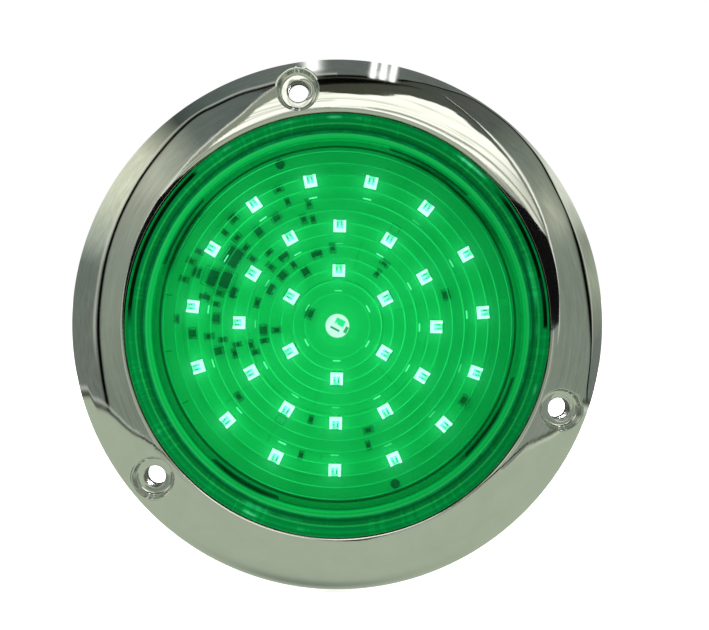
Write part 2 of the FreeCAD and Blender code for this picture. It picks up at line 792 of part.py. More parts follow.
def led_pads(body, name, radius):
    middle = (size.pad_reach + size.pad_start) / 2
    length = size.pad_reach - size.pad_start

    def draw(profile):
        profile.box(0, -radius + middle, size.pad_wide, length)
        profile.box(0, -radius - middle, size.pad_wide, length)
    return [pad(body, name, size.board_front, size.pad_top, draw)]


led_piece("led_packages", "led", LED_COUNT, led_package)
led_piece("led_windows", "window", LED_COUNT, led_window)
led_piece("led_solder_pads", "solder", 2 * LED_COUNT, led_pads)

# ---------------------------------------------------------------- chips
# Each place is (clock angle, radius, way): the long side lies along the circle
# for "c" and along the radius for "r".
RESISTORS = [
    (335.1, 39.9, "c"), (336.6, 35.9, "r"), (345.4, 33.6, "r"), (345.6, 29.3, "r"),
    (340.9, 29.9, "r"), (308.0, 39.4, "r"), (309.6, 36.0, "c"), (308.6, 32.4, "c"),
    (306.4, 29.1, "r"), (315.2, 27.0, "c"), (309.6, 24.0, "r"), (322.4, 20.2, "r"),
    (292.3, 43.2, "r"), (296.6, 42.3, "r"), (285.3, 43.4, "r"), (270.9, 43.6, "c"),
    (283.6, 33.2, "r"), (278.4, 33.4, "r"), (263.6, 34.9, "r"), (261.4, 31.4, "r"),
    (253.2, 28.9, "c"), (257.6, 27.8, "r"), (255.6, 24.2, "c"), (250.2, 23.6, "r"),
    (263.6, 16.6, "r"), (256.4, 20.4, "r"), (284.0, 22.6, "c"), (194.6, 36.8, "r"),
    (232.7, 33.2, "c"), (164.6, 33.8, "r"), (162.6, 29.8, "c"), (194.6, 26.8, "r"),
    (36.0, 20.9, "c"), (36.5, 17.6, "r"), (355.0, 20.8, "r"),
]
CAPACITORS = [
    (329.0, 33.4, "c"), (314.4, 40.2, "c"), (318.5, 33.0, "r"), (310.6, 20.0, "c"),
    (327.6, 16.8, "r"), (289.3, 40.6, "c"), (271.8, 32.9, "c"), (265.4, 39.4, "c"),
    (256.3, 33.0, "r"), (264.6, 20.2, "c"), (290.6, 8.2, "c"), (119.8, 40.0, "c"),
    (73.4, 30.4, "c"),
]
DIODES = [(289.4, 36.2, "c"), (290.6, 32.6, "c")]
TRANSISTORS = [
    (342.3, 20.0, "c"), (320.4, 23.6, "c"), (285.8, 29.6, "c"), (296.6, 20.6, "c"),
    (280.6, 36.8, "r"),
]
REGULATORS = [(301.8, 33.6, "c")]
BOX_CORNERS = [(-0.5, -0.5), (0.5, -0.5), (0.5, 0.5), (-0.5, 0.5)]  # shares of the sides


def make_chips(label, places, long_side, wide_side, tall):
    body = new_body(label, len(places))

    def draw(profile):
        for clock, radius, way in places:
            x, y = at_clock(radius, clock)
            angle = math.radians(clock)
            along = (math.cos(angle), -math.sin(angle))
            across = (math.sin(angle), math.cos(angle))
            if way == "r":
                along, across = across, along
            profile.loop([(x + long_side * (u * along[0]) + wide_side * (v * across[0]),
                           y + long_side * (u * along[1]) + wide_side * (v * across[1]))
                          for u, v in BOX_CORNERS])

    pad(body, label + "_blocks", size.board_front, size.board_front + tall, draw)
    turn(body, size.board_turn)


make_chips("chip_resistors", RESISTORS,
           size.resistor_long, size.resistor_wide, size.resistor_tall)
make_chips("chip_capacitors", CAPACITORS,
           size.capacitor_long, size.capacitor_wide, size.capacitor_tall)
make_chips("rectifier_diodes", DIODES, size.diode_long, size.diode_wide, size.diode_tall)
make_chips("driver_transistors", TRANSISTORS,
           size.transistor_long, size.transistor_wide, size.transistor_tall)
make_chips("regulator_ic", REGULATORS,
           size.regulator_long, size.regulator_wide, size.regulator_tall)


# ---------------------------------------------------------------- terminal pins
def place_at_pin(body, slot, roll=0.0):
    """Puts a body's axis on a pin's axis, rolled about it by an extra angle."""
    lamp_turn = Rotation(Vector(0, 1, 0), size.board_turn.value)
    spot = lamp_turn.multVec(Vector(size.pin_pitch.value * slot, 0, size.socket_z.value))
    body.Placement = Placement(spot, Rotation(Vector(0, 1, 0), size.board_turn.value + roll))
    body.setExpression("Placement.Base.x",
                       "Sizes.pin_pitch * %d * cos(Sizes.board_turn * 1 deg)"
                       " + Sizes.socket_z * sin(Sizes.board_turn * 1 deg)" % slot)
    body.setExpression("Placement.Base.z",
                       "0 - Sizes.pin_pitch * %d * sin(Sizes.board_turn * 1 deg)"
                       " + Sizes.socket_z * cos(Sizes.board_turn * 1 deg)" % slot)


def row_lathe(label, name, points, arcs=None):
    """A piece turned on the leftmost pin's axis and repeated for every pin."""
    count = len(PIN_SLOTS)
    body = new_body(label, count)
    original = revolve(body, name, points, arcs)
    pattern = body.newObject("PartDesign::LinearPattern", name + "s")
    pattern.Originals = [original]
    pattern.Direction = (origin_item(body, "X_Axis"), [""])
    span = size.pin_pitch * (count - 1)
    pattern.Length = span.value
    pattern.setExpression("Length", span.text)
    pattern.Occurrences = count
    body.Tip = pattern
    place_at_pin(body, PIN_SLOTS[0])
    body.setExpression("Placement.Rotation.Angle", size.board_turn.text)


row_lathe("terminal_pins", "pin", [
    (ZERO, size.pin_end),
    (size.pin_r - size.pin_round, size.pin_end),
    (size.pin_r, size.pin_end + size.pin_round),
    (size.pin_r, size.socket_floor),
    (size.tail_r, size.socket_floor),
    (size.tail_r, size.tail_end),
    (ZERO, size.tail_end),
], {1: (size.pin_round, LEFT)})
row_lathe("pin_solder", "solder_cone", [
    (size.tail_r, size.solder_low),
    (size.tail_r + size.solder_thin, size.solder_low),
    (size.solder_r, size.board_back),
    (size.tail_r, size.board_back),
])

# ---------------------------------------------------------------- plug
RIB_COUNT = 4
RIB_TALL_SHARE = 0.8  # a rib's inset above and below, as a share of that at the sides
RIB_ROUND_SHARE = 0.35  # the same for its corner radius


def plug_boot(plug):
    """Lofts the boot from the collar back to the smaller back end."""
    front = drawn_at(plug, "boot_front", size.collar_end, around_socket(
        inset(COLLAR, size.boot_inset, size.boot_inset, size.boot_inset_round)))
    back = drawn_at(plug, "boot_back", size.plug_end, around_socket(PLUG_TAIL))
    boot = plug.newObject("PartDesign::AdditiveLoft", "plug_boot")
    boot.Profile = front
    boot.Sections = [(back, [""])]
    boot.Ruled = False
    plug.Tip = boot


def finger_ribs(plug):
    for i in range(RIB_COUNT):
        front = size.collar_end - size.rib_first - size.rib_pitch * i
        cut = size.rib_inset + size.rib_inset_step * i
        outside = inset(COLLAR, cut, cut * RIB_TALL_SHARE, cut * RIB_ROUND_SHARE)
        inside = inset(outside, size.rib_depth, size.rib_depth, size.rib_inset_round)
        pad(plug, "grip_rib_%d" % i, front - size.rib_thick, front,
            around_socket(outside, inside))


def make_plug():
    plug = new_body("plug_shell")
    pad(plug, "plug_nose_block", PLUG_SEAL_BACK, size.plug_nose,
        around_socket(grown(SOCKET, -size.plug_gap)))
    pad(plug, "plug_collar", size.collar_end, PLUG_SEAL_BACK, around_socket(COLLAR))
    plug_boot(plug)
    pocket(plug, "contact_bores", size.plug_nose + OVERRUN, size.contact_step,
           at_pins(size.contact_out_r))
    pocket(plug, "crimp_bores", size.contact_step, -size.wire_start, at_pins(size.crimp_r))
    pocket(plug, "wire_bores", -size.wire_start, size.plug_end - OVERRUN, at_pins(size.wire_r))
    finger_ribs(plug)
    turn(plug, size.board_turn)


def make_plug_seal():
    seal = new_body("plug_seal")
    outside = inset(COLLAR, size.plug_seal_inset_w, size.plug_seal_inset_tall,
                    size.plug_seal_inset_round)
    pad(seal, "plug_seal_ring", PLUG_SEAL_BACK, size.floor_out,
        around_socket(outside, grown(SOCKET, size.plug_seal_gap)))
    turn(seal, size.board_turn)


make_plug()
row_lathe("plug_contacts", "contact", [
    (size.contact_in_r, size.contact_front),
    (size.contact_out_r, size.contact_front),
    (size.contact_out_r, size.contact_step),
    (size.crimp_r, size.contact_step),
    (size.crimp_r, size.contact_end),
    (size.strand_r, size.contact_end),
    (size.strand_r, size.contact_step - size.web_back),
    (ZERO, size.contact_step - size.web_back),
    (ZERO, size.contact_step + size.web_front),
    (size.contact_in_r, size.contact_step + size.web_front),
])
make_plug_seal()

# ---------------------------------------------------------------- wires
# (name, pin slot, roll about the pin's axis in degrees, extra length)
WIRES = [("ground", -1, 32.0, 0.0), ("tail", 0, 0.0, 5.0), ("stop", 1, -32.0, 2.5)]


def wire_path(body, name, start, tail_run):
    """Straight out of the plug, then a double bend downwards, in (Y, Z)."""
    bend = math.radians(size.wire_bend.value)
    bend_run = size.wire_bend_r * math.sin(bend)
    bend_drop = size.wire_bend_r * (1 - math.cos(bend))
    y_bend = size.wire_straight_end
    y_middle = y_bend + bend_run
    y_tail = y_middle + bend_run
    z_tail = -bend_drop - bend_drop
    profile = Profile(sketch_on(body, "YZ_Plane", name))
    profile.loop([(start, ZERO), (y_bend, ZERO), (y_middle, -bend_drop), (y_tail, z_tail),
                  (y_tail + tail_run, z_tail)],
                 {1: (size.wire_bend_r, RIGHT), 2: (size.wire_bend_r, LEFT)}, closed=False)
    return profile.done()


def sweep(label, start, tail_run, draw, slot, roll):
    body = new_body(label)
    spine = wire_path(body, label + "_path", start, tail_run)
    section = drawn_at(body, label + "_section", -start, draw)
    pipe = body.newObject("PartDesign::AdditivePipe", label + "_sweep")
    pipe.Profile = section
    pipe.Spine = (spine, [])
    body.Tip = pipe
    place_at_pin(body, slot, roll)


for wire, slot, roll, extra in WIRES:
    sweep("wire_" + wire, size.wire_start, size.wire_tail_run + extra,
          discs(size.wire_r, size.strand_r), slot, roll)
    sweep("strands_" + wire, size.strand_start - size.contact_step,
          size.wire_tail_run + size.strip_run + extra, discs(size.strand_r), slot, roll)

# ---------------------------------------------------------------- validation and export
CUTTING = ("PartDesign::Pocket", "PartDesign::Groove")
ADDING = ("PartDesign::Pad", "PartDesign::Revolution", "PartDesign::AdditiveLoft",
          "PartDesign::AdditivePipe")


def require_sound_objects():
    for item in doc.Objects:
        faults = [state for state in item.State if state in ("Invalid", "Error")]
        if faults:
            raise RuntimeError("%s is %s" % (item.Label, faults))
    for item in doc.Objects:
        if item.TypeId == "Sketcher::SketchObject" and item.solve() != 0:
            raise RuntimeError("sketch %s does not solve" % item.Label)


def require_working_features(body):
    """A cut that points away from its solid removes nothing, so volumes are compared."""
    before = None
    for feature in body.Group:
        if not hasattr(feature, "Shape") or feature.TypeId == "Sketcher::SketchObject":
            continue
        volume = feature.Shape.Volume
        if before is not None:
            if feature.TypeId in CUTTING and volume > before - 1e-4:
                raise RuntimeError("%s cuts nothing" % feature.Label)
            if feature.TypeId in ADDING and volume < before + 1e-6:
                raise RuntimeError("%s adds nothing" % feature.Label)
        before = volume


def require_good_shape(body, solids):
    shape = body.Shape
    if shape.isNull() or not shape.isValid():
        raise RuntimeError("bad shape in %s" % body.Label)
    if len(shape.Solids) != solids:
        raise RuntimeError("%s has %d solids" % (body.Label, len(shape.Solids)))


doc.recompute()
require_sound_objects()
for body, solids in PIECES:
    require_working_features(body)
    require_good_shape(body, solids)
os.makedirs("parts", exist_ok=True)
for body, solids in PIECES:
    body.Shape.exportStep("parts/%s.step" % body.Label)
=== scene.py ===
import math
import bpy
import bmesh
import numpy as np
from mathutils import Vector, Matrix


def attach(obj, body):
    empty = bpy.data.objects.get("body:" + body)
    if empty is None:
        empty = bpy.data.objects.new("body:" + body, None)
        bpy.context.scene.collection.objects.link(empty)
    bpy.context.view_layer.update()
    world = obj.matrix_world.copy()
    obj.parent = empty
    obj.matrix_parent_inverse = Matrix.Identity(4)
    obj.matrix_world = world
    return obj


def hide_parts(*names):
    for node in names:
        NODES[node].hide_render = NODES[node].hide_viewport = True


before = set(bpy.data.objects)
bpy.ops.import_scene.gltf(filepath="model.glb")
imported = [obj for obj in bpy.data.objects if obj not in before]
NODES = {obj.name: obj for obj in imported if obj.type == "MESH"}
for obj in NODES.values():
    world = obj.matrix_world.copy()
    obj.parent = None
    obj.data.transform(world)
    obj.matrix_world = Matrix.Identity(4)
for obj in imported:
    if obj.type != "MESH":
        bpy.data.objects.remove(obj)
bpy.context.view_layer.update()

MM = 0.001
scene = bpy.context.scene
# painted light and shade: how the board's lightness falls off outwards, over 50 mm
BOARD_PAINTED_FALLOFF = [(r, (v, v, v)) for r, v in (
    (0.0, 1.0), (0.11, 1.0), (0.16, 0.89), (0.28, 0.88), (0.42, 0.84), (0.50, 0.87), (0.56, 0.86), (0.59, 0.77), (0.70, 0.77), (0.74, 0.88), (0.80, 0.88), (0.825, 0.74), (0.93, 0.71), (1.0, 0.60))]
TURN = 1.2          # clock angle the lamp is turned by
FLANGE_TURN = -9.5  # clock angle of the first screw hole


# ============================================================ node helpers
def lin(r, g, b):
    """0-255 screen colour to linear."""
    out = []
    for v in (r, g, b):
        v = v / 255.0
        out.append(v / 12.92 if v <= 0.04045 else ((v + 0.055) / 1.055) ** 2.4)
    return tuple(out)


class N:
    def __init__(self, tree):
        self.t = tree
        tree.nodes.clear()

    def new(self, kind, **props):
        n = self.t.nodes.new(kind)
        for k, v in props.items():
            setattr(n, k, v)
        return n

    def put(self, sock, v):
        if v is None:
            return
        if isinstance(v, bpy.types.NodeSocket):
            self.t.links.new(v, sock)
        elif isinstance(v, (tuple, list)):
            v = tuple(v)
            if len(v) == 3 and len(sock.default_value) == 4:
                v = v + (1.0,)
            sock.default_value = v
        else:
            sock.default_value = v

    def math(self, op, a, b=None, c=None, clamp=False):
        n = self.new("ShaderNodeMath", operation=op, use_clamp=clamp)
        for i, v in enumerate((a, b, c)):
            if v is not None:
                self.put(n.inputs[i], v)
        return n.outputs[0]

    def step(self, x, lo, hi, a=0.0, b=1.0):
        n = self.new("ShaderNodeMapRange", interpolation_type="SMOOTHSTEP")
        self.put(n.inputs[0], x)
        self.put(n.inputs[1], lo)
        self.put(n.inputs[2], hi)
        self.put(n.inputs[3], a)
        self.put(n.inputs[4], b)
        return n.outputs[0]

    def mix(self, fac, a, b, mode="MIX"):
        n = self.new("ShaderNodeMix", data_type="RGBA", blend_type=mode)
        self.put(n.inputs[0], fac)
        self.put(n.inputs[6], a)
        self.put(n.inputs[7], b)
        return n.outputs[2]

    def ramp(self, fac, stops, interp="LINEAR"):
        n = self.new("ShaderNodeValToRGB")
        cr = n.color_ramp
        cr.interpolation = interp
        stops = sorted(stops, key=lambda s: s[0])
        while len(cr.elements) > 1:
            cr.elements.remove(cr.elements[-1])
        for i, (pos, col) in enumerate(stops):
            e = cr.elements[0] if i == 0 else cr.elements.new(pos)
            e.position = pos
            e.color = tuple(col) + (1.0,) if len(col) == 3 else col
        self.put(n.inputs[0], fac)
        return n.outputs[0]

    def curve(self, x, pts, handle="AUTO_CLAMPED"):
        n = self.new("ShaderNodeFloatCurve")
        c = n.mapping.curves[0]
        n.mapping.use_clip = False
        c.points[0].location = pts[0]
        c.points[1].location = pts[-1]
        for p in pts[1:-1]:
            c.points.new(p[0], p[1])
        for p in c.points:
            p.handle_type = handle
        n.mapping.update()
        self.put(n.inputs["Value"], x)
        return n.outputs[0]

    def new_vec(self, v):
        n = self.new("ShaderNodeCombineColor")
        for i in range(3):
            self.put(n.inputs[i], v)
        return n.outputs[0]

    def coords(self, kind="Object"):
        return self.new("ShaderNodeTexCoord").outputs[kind]

    def scaled(self, vec, sx, sy, sz):
        n = self.new("ShaderNodeMapping")
        self.put(n.inputs["Vector"], vec)
        n.inputs["Scale"].default_value = (sx, sy, sz)
        return n.outputs[0]

    def noise(self, vec, scale, detail=3.0, rough=0.55, out=0, distortion=0.0):
        n = self.new("ShaderNodeTexNoise")
        self.put(n.inputs["Vector"], vec)
        n.inputs["Scale"].default_value = scale
        n.inputs["Detail"].default_value = detail
        n.inputs["Roughness"].default_value = rough
        n.inputs["Distortion"].default_value = distortion
        return n.outputs[out]

    def voronoi(self, vec, scale, feature="F1", out="Distance"):
        n = self.new("ShaderNodeTexVoronoi", feature=feature)
        self.put(n.inputs["Vector"], vec)
        n.inputs["Scale"].default_value = scale
        return n.outputs[out]

    def bump(self, height, strength, distance, normal=None):
        n = self.new("ShaderNodeBump")
        n.inputs["Strength"].default_value = strength
        n.inputs["Distance"].default_value = distance
        self.put(n.inputs["Height"], height)
        if normal is not None:
            self.put(n.inputs["Normal"], normal)
        return n.outputs[0]

    def gauss(self, x, mid, width):
        """exp(-((x - mid) / width)^2)"""
        d = self.math("DIVIDE", self.math("SUBTRACT", x, mid), width)
        return self.math("EXPONENT", self.math("MULTIPLY", self.math("MULTIPLY", d, d), -1.0))


def material(name):
    m = bpy.data.materials.new(name)
    m.use_nodes = True
    return m, N(m.node_tree)


def principled(n, **kw):
    p = n.new("ShaderNodeBsdfPrincipled")
    for k, v in kw.items():
        n.put(p.inputs[k.replace("_", " ")], v)
    return p


def finish_mat(n, shader):
    o = n.new("ShaderNodeOutputMaterial")
    n.t.links.new(shader, o.inputs["Surface"])


def polar(n):
    """(radius in mm, clock angle in turns 0..1) of a point on the lamp's face."""
    s = n.new("ShaderNodeSeparateXYZ")
    n.put(s.inputs[0], n.coords("Object"))
    x, z = s.outputs[0], s.outputs[2]
    r = n.math("MULTIPLY", n.math("SQRT", n.math("ADD", n.math("MULTIPLY", x, x), n.math("MULTIPLY", z, z))), 1000.0)
    t = n.math("FRACT", n.math("ADD", n.math("DIVIDE", n.math("ARCTAN2", x, z), 2 * math.pi), 1.0))
    return r, t


def lip_gap(n, t):
    """1 where the gap between lip and lens lies in deep shade, at two places round the opening."""
    left = n.math("MULTIPLY", n.step(t, 268 / 360, 276 / 360), n.step(t, 318.5 / 360, 316 / 360))
    right = n.math("MULTIPLY", n.step(t, 46 / 360, 56 / 360), n.step(t, 91.5 / 360, 90 / 360))
    return n.math("MAXIMUM", left, right)


# ============================================================ materials
def mat_chrome():
    m, n = material("chrome_plate")
    co = n.coords("Object")
    big = n.noise(co, 26.0, 2.0, 0.5)
    smudge = n.noise(co, 90.0, 5.0, 0.62, distortion=0.6)
    scratch = n.noise(n.scaled(co, 60.0, 900.0, 1400.0), 1.0, 2.0, 0.5)
    col = n.ramp(smudge, [(0.25, (0.80, 0.815, 0.79)), (0.6, (0.86, 0.87, 0.85)), (0.85, (0.89, 0.895, 0.88))])
    rough = n.math("ADD", 0.028, n.math("MULTIPLY", n.step(smudge, 0.45, 0.8), 0.045))
    rough = n.math("ADD", rough, n.math("MULTIPLY", n.step(scratch, 0.62, 0.75), 0.02))
    b1 = n.bump(big, 0.10, 0.0012)
    b2 = n.bump(n.noise(co, 480.0, 2.0, 0.5), 0.020, 0.0001, b1)
    p = principled(n, Base_Color=col, Metallic=1.0, Roughness=rough, Normal=b2)
    finish_mat(n, p.outputs[0])
    return m


def mat_lip():
    """The lip round the opening: dull plating, darkened with painted shade, its tone mottled."""
    m, n = material("plated_lip")
    co = n.coords("Object")
    v = n.noise(co, 220.0, 4.0, 0.6)
    r, t = polar(n)
    # painted shade: the plating is darkened where the lip meets the lens, and near black over the lip gap
    lip_shade_col = n.mix(n.step(v, 0.35, 0.65), (0.045, 0.052, 0.042), (0.13, 0.14, 0.12))
    p = principled(n, Base_Color=n.mix(n.math("MULTIPLY", lip_gap(n, t), 0.97), lip_shade_col, (0.0012, 0.0012, 0.0012)), Metallic=1.0,
                   Roughness=n.math("ADD", 0.26, n.math("MULTIPLY", v, 0.15)), Normal=n.bump(v, 0.08, 0.0001))
    finish_mat(n, p.outputs[0])
    return m


def mat_bore():
    """The plating is thin and dull down the screw holes."""
    m, n = material("plated_bore")
    co = n.coords("Object")
    v = n.noise(co, 400.0, 4.0, 0.6)
    p = principled(n, Base_Color=n.mix(n.step(v, 0.3, 0.7), (0.10, 0.115, 0.085), (0.17, 0.19, 0.15)), Metallic=0.85,
                   Roughness=n.math("ADD", 0.32, n.math("MULTIPLY", v, 0.2)), Normal=n.bump(v, 0.15, 0.0001))
    finish_mat(n, p.outputs[0])
    return m


def mat_plastic(name, c1, c2, rough=(0.42, 0.58), grain=2600.0, bump=0.10, spec=0.5, wear=0.0, coat=0.0):
    m, n = material(name)
    co = n.coords("Object")
    cloud = n.noise(co, 70.0, 4.0, 0.6)
    fine = n.noise(co, grain, 2.0, 0.6)
    col = n.mix(n.step(cloud, 0.3, 0.7), c1, c2)
    if wear > 0:
        rub = n.step(n.noise(n.scaled(co, 1.0, 2.2, 1.0), 240.0, 6.0, 0.7), 0.60, 0.72)
        col = n.mix(n.math("MULTIPLY", rub, wear), col, tuple(min(1.0, v * 3.0 + 0.05) for v in c2))
    r = n.math("ADD", rough[0], n.math("MULTIPLY", cloud, rough[1] - rough[0]))
    b = n.bump(fine, bump, 0.0002)
    p = principled(n, Base_Color=col, Roughness=r, Normal=b)
    p.inputs["Specular IOR Level"].default_value = spec
    if coat:
        p.inputs["Coat Weight"].default_value = coat
        p.inputs["Coat Roughness"].default_value = 0.08
    finish_mat(n, p.outputs[0])
    return m


def mat_foam():
    m, n = material("gasket_foam")
    co = n.coords("Object")
    pores = n.voronoi(co, 2400.0)
    big = n.voronoi(co, 900.0)
    cloud = n.noise(co, 60.0, 4.0, 0.6)
    col = n.mix(n.step(pores, 0.15, 0.5), (0.006, 0.006, 0.007), (0.030, 0.030, 0.032))
    col = n.mix(n.math("MULTIPLY", cloud, 0.5), col, (0.05, 0.05, 0.05))
    h = n.math("ADD", n.math("MULTIPLY", pores, 0.7), n.math("MULTIPLY", big, 0.5))
    p = principled(n, Base_Color=col, Roughness=n.math("ADD", 0.72, n.math("MULTIPLY", cloud, 0.2)), Normal=n.bump(h, 0.55, 0.0003))
    finish_mat(n, p.outputs[0])
    return m


def mat_rubber(name, c=(0.012, 0.012, 0.013)):
    m, n = material(name)
    co = n.coords("Object")
    cloud = n.noise(co, 110.0, 4.0, 0.6)
    fine = n.noise(co, 1900.0, 3.0, 0.6)
    dust = n.step(n.noise(co, 420.0, 6.0, 0.75), 0.56, 0.74)
    col = n.mix(n.math("MULTIPLY", dust, 0.25), n.mix(cloud, c, tuple(v * 2.2 for v in c)), (0.10, 0.10, 0.095))
    p = principled(n, Base_Color=col, Roughness=n.math("ADD", 0.45, n.math("MULTIPLY", cloud, 0.22)), Normal=n.bump(fine, 0.16, 0.0002))
    finish_mat(n, p.outputs[0])
    return m


def mat_metal(name, c1, c2, rough=(0.16, 0.34), scale=300.0):
    m, n = material(name)
    co = n.coords("Object")
    cloud = n.noise(co, scale, 4.0, 0.6)
    turned = n.noise(n.scaled(co, 300.0, 6000.0, 300.0), 1.0, 2.0, 0.5)
    col = n.mix(n.step(cloud, 0.3, 0.75), c1, c2)
    r = n.math("ADD", rough[0], n.math("MULTIPLY", cloud, rough[1] - rough[0]))
    p = principled(n, Base_Color=col, Metallic=1.0, Roughness=r, Normal=n.bump(turned, 0.12, 0.00005))
    finish_mat(n, p.outputs[0])
    return m


# tint of the light that passes the whole lens; each of its faces takes the root
TINT = (0.035, 0.60, 0.235)
T1 = tuple(math.sqrt(v) for v in TINT)


def green(g, r=0.0, b=0.21):
    return (r, g, g * b)


def lens_shader(n, tint, haze_col, haze, glow=None, normal=None, shine=1.0, base=0.037):
    """Tinted clear plastic: see-through, a little milky, glossy on its outer side; glow adds painted light as emission.
    """
    tr = n.new("ShaderNodeBsdfTransparent")
    n.put(tr.inputs["Color"], tint)
    di = n.new("ShaderNodeBsdfDiffuse")
    n.put(di.inputs["Color"], haze_col)
    if normal is not None:
        n.put(di.inputs["Normal"], normal)
    a = n.new("ShaderNodeMixShader")
    n.put(a.inputs[0], haze)
    n.t.links.new(tr.outputs[0], a.inputs[1])
    n.t.links.new(di.outputs[0], a.inputs[2])
    body = a.outputs[0]
    # painted light: glow makes the lens give light, though it is no lamp
    if glow is not None:
        em = n.new("ShaderNodeEmission")
        n.put(em.inputs["Color"], glow)
        em.inputs["Strength"].default_value = 1.0
        add = n.new("ShaderNodeAddShader")
        n.t.links.new(body, add.inputs[0])
        n.t.links.new(em.outputs[0], add.inputs[1])
        body = add.outputs[0]
    if shine > 0:
        gl = n.new("ShaderNodeBsdfGlossy")
        gl.inputs["Color"].default_value = (0.42, 1.0, 0.62, 1)
        gl.inputs["Roughness"].default_value = 0.05
        fr = n.new("ShaderNodeFresnel")
        fr.inputs["IOR"].default_value = 1.47
        if normal is not None:
            n.put(gl.inputs["Normal"], normal)
            n.put(fr.inputs["Normal"], normal)
        geo = n.new("ShaderNodeNewGeometry")
        front = n.math("SUBTRACT", 1.0, geo.outputs["Backfacing"])
        fac = n.math("MULTIPLY", n.math("MULTIPLY", n.math("SUBTRACT", fr.outputs[0], base, clamp=True), front), shine)
        b = n.new("ShaderNodeMixShader")
        n.put(b.inputs[0], fac)
        n.t.links.new(body, b.inputs[1])
        n.t.links.new(gl.outputs[0], b.inputs[2])
        body = b.outputs[0]
    finish_mat(n, body)


def side_gain(n, r, t):
    """The lamp is a little dimmer to the right, more so towards the brim."""
    c = n.math("COSINE", n.math("MULTIPLY", n.math("SUBTRACT", t, 78.0 / 360.0), 2 * math.pi))
    amount = n.step(r, 12.0, 52.0, 0.0, 0.17)
    return n.math("SUBTRACT", 1.0, n.math("MULTIPLY", amount, c))


def mat_lens_outer():
    m, n = material("lens_outer_face")
    r, t = polar(n)
    co = n.coords("Object")
    cloud = n.noise(co, 45.0, 3.0, 0.55)
    # painted light: the outer face glows by radius, brightest in bands near the rim
    stops = [(0.0, 0.018), (44.0, 0.018), (47.8, 0.03), (48.3, 0.13), (49.1, 0.12), (49.35, 0.22), (49.62, 0.37), (49.85, 0.33), (50.25, 0.15), (50.7, 0.07), (51.3, 0.045),
             (51.9, 0.055), (52.3, 0.10), (52.95, 0.085), (53.03, 0.30), (53.2, 0.29), (53.32, 0.135), (54.2, 0.125), (54.75, 0.18), (56.5, 0.12)]
    glow = n.ramp(n.math("DIVIDE", r, 60.0), [(rr / 60.0, green(g, 0.012 if 49.2 < rr < 50.2 or 53.0 < rr < 53.25 else 0.001)) for rr, g in stops])
    # fine turned lines and uneven light round the rim
    lines = n.noise(n.scaled(co, 1.0, 1.0, 1.0), 30.0, 3.0, 0.6)
    k = n.math("MULTIPLY", side_gain(n, r, t), n.math("ADD", 0.80, n.math("MULTIPLY", lines, 0.40)))
    glow = n.mix(1.0, glow, n.new_vec(k), "MULTIPLY")
    # small glints where the brim's corner catches light
    gn = n.noise(n.scaled(co, 1.0, 0.2, 1.0), 62.0, 2.0, 0.6)
    spots = n.math("MULTIPLY", n.step(gn, 0.55, 0.66), n.math("MULTIPLY", n.step(r, 54.2, 54.75), n.step(r, 55.6, 55.0)))
    glow = n.mix(n.math("MULTIPLY", spots, 0.55), glow, (0.10, 0.50, 0.30), "ADD")
    gn2 = n.noise(n.scaled(co, 1.0, 0.2, 1.0), 34.0, 3.0, 0.6)
    glow = n.mix(n.math("MULTIPLY", n.step(gn2, 0.56, 0.68), n.gauss(r, 52.65, 0.35)), glow, (0.008, 0.17, 0.065), "ADD")
    # shade: under the lip, and in four uneven arcs where the ring behind has its notches
    gap = n.math("MULTIPLY", n.math("MULTIPLY", lip_gap(n, t), 0.96), n.step(r, 54.15, 54.45))
    wob = n.math("MULTIPLY", n.math("SUBTRACT", n.noise(co, 55.0, 3.0, 0.6), 0.5), 2.6)
    arcs = None
    for mid, half, rad, width in ((300, 16, 46.1, 0.95), (43, 30, 46.9, 0.75), (211, 13, 47.4, 0.8), (128, 14, 47.2, 0.6)):
        along = n.math("MULTIPLY", n.step(t, (mid - half) / 360, (mid - half * 0.45) / 360), n.step(t, (mid + half) / 360, (mid + half * 0.45) / 360))
        one = n.math("MULTIPLY", along, n.gauss(n.math("ADD", r, wob), rad, width))
        arcs = one if arcs is None else n.math("MAXIMUM", arcs, one)
    arcs = n.math("MULTIPLY", arcs, 0.62)
    shade = n.math("SUBTRACT", 1.0, n.math("MAXIMUM", gap, arcs))
    glow = n.mix(1.0, glow, n.new_vec(shade), "MULTIPLY")
    tint = n.mix(1.0, T1, n.new_vec(shade), "MULTIPLY")
    nrm = n.bump(n.noise(co, 60.0, 2.0, 0.5), 0.05, 0.0008)
    haze_col = n.mix(1.0, n.mix(cloud, (0.0, 0.36, 0.10), (0.0, 0.44, 0.13)), n.new_vec(shade), "MULTIPLY")
    lens_shader(n, tint, haze_col, 0.045, glow, nrm, 0.9)
    return m


RINGS = ((38.2, 15), (25.86, 12), (14.2, 6))


def nearest(n, turns, count, r0):
    """Distance along the circle to the nearest LED's clock angle, in mm."""
    f = n.math("ADD", n.math("MULTIPLY", turns, float(count)), 0.5 if count % 2 else 0.0)
    f = n.math("SUBTRACT", n.math("FRACT", n.math("ADD", f, 0.5)), 0.5)
    return n.math("MULTIPLY", n.math("ABSOLUTE", f), 2 * math.pi * r0 / count)


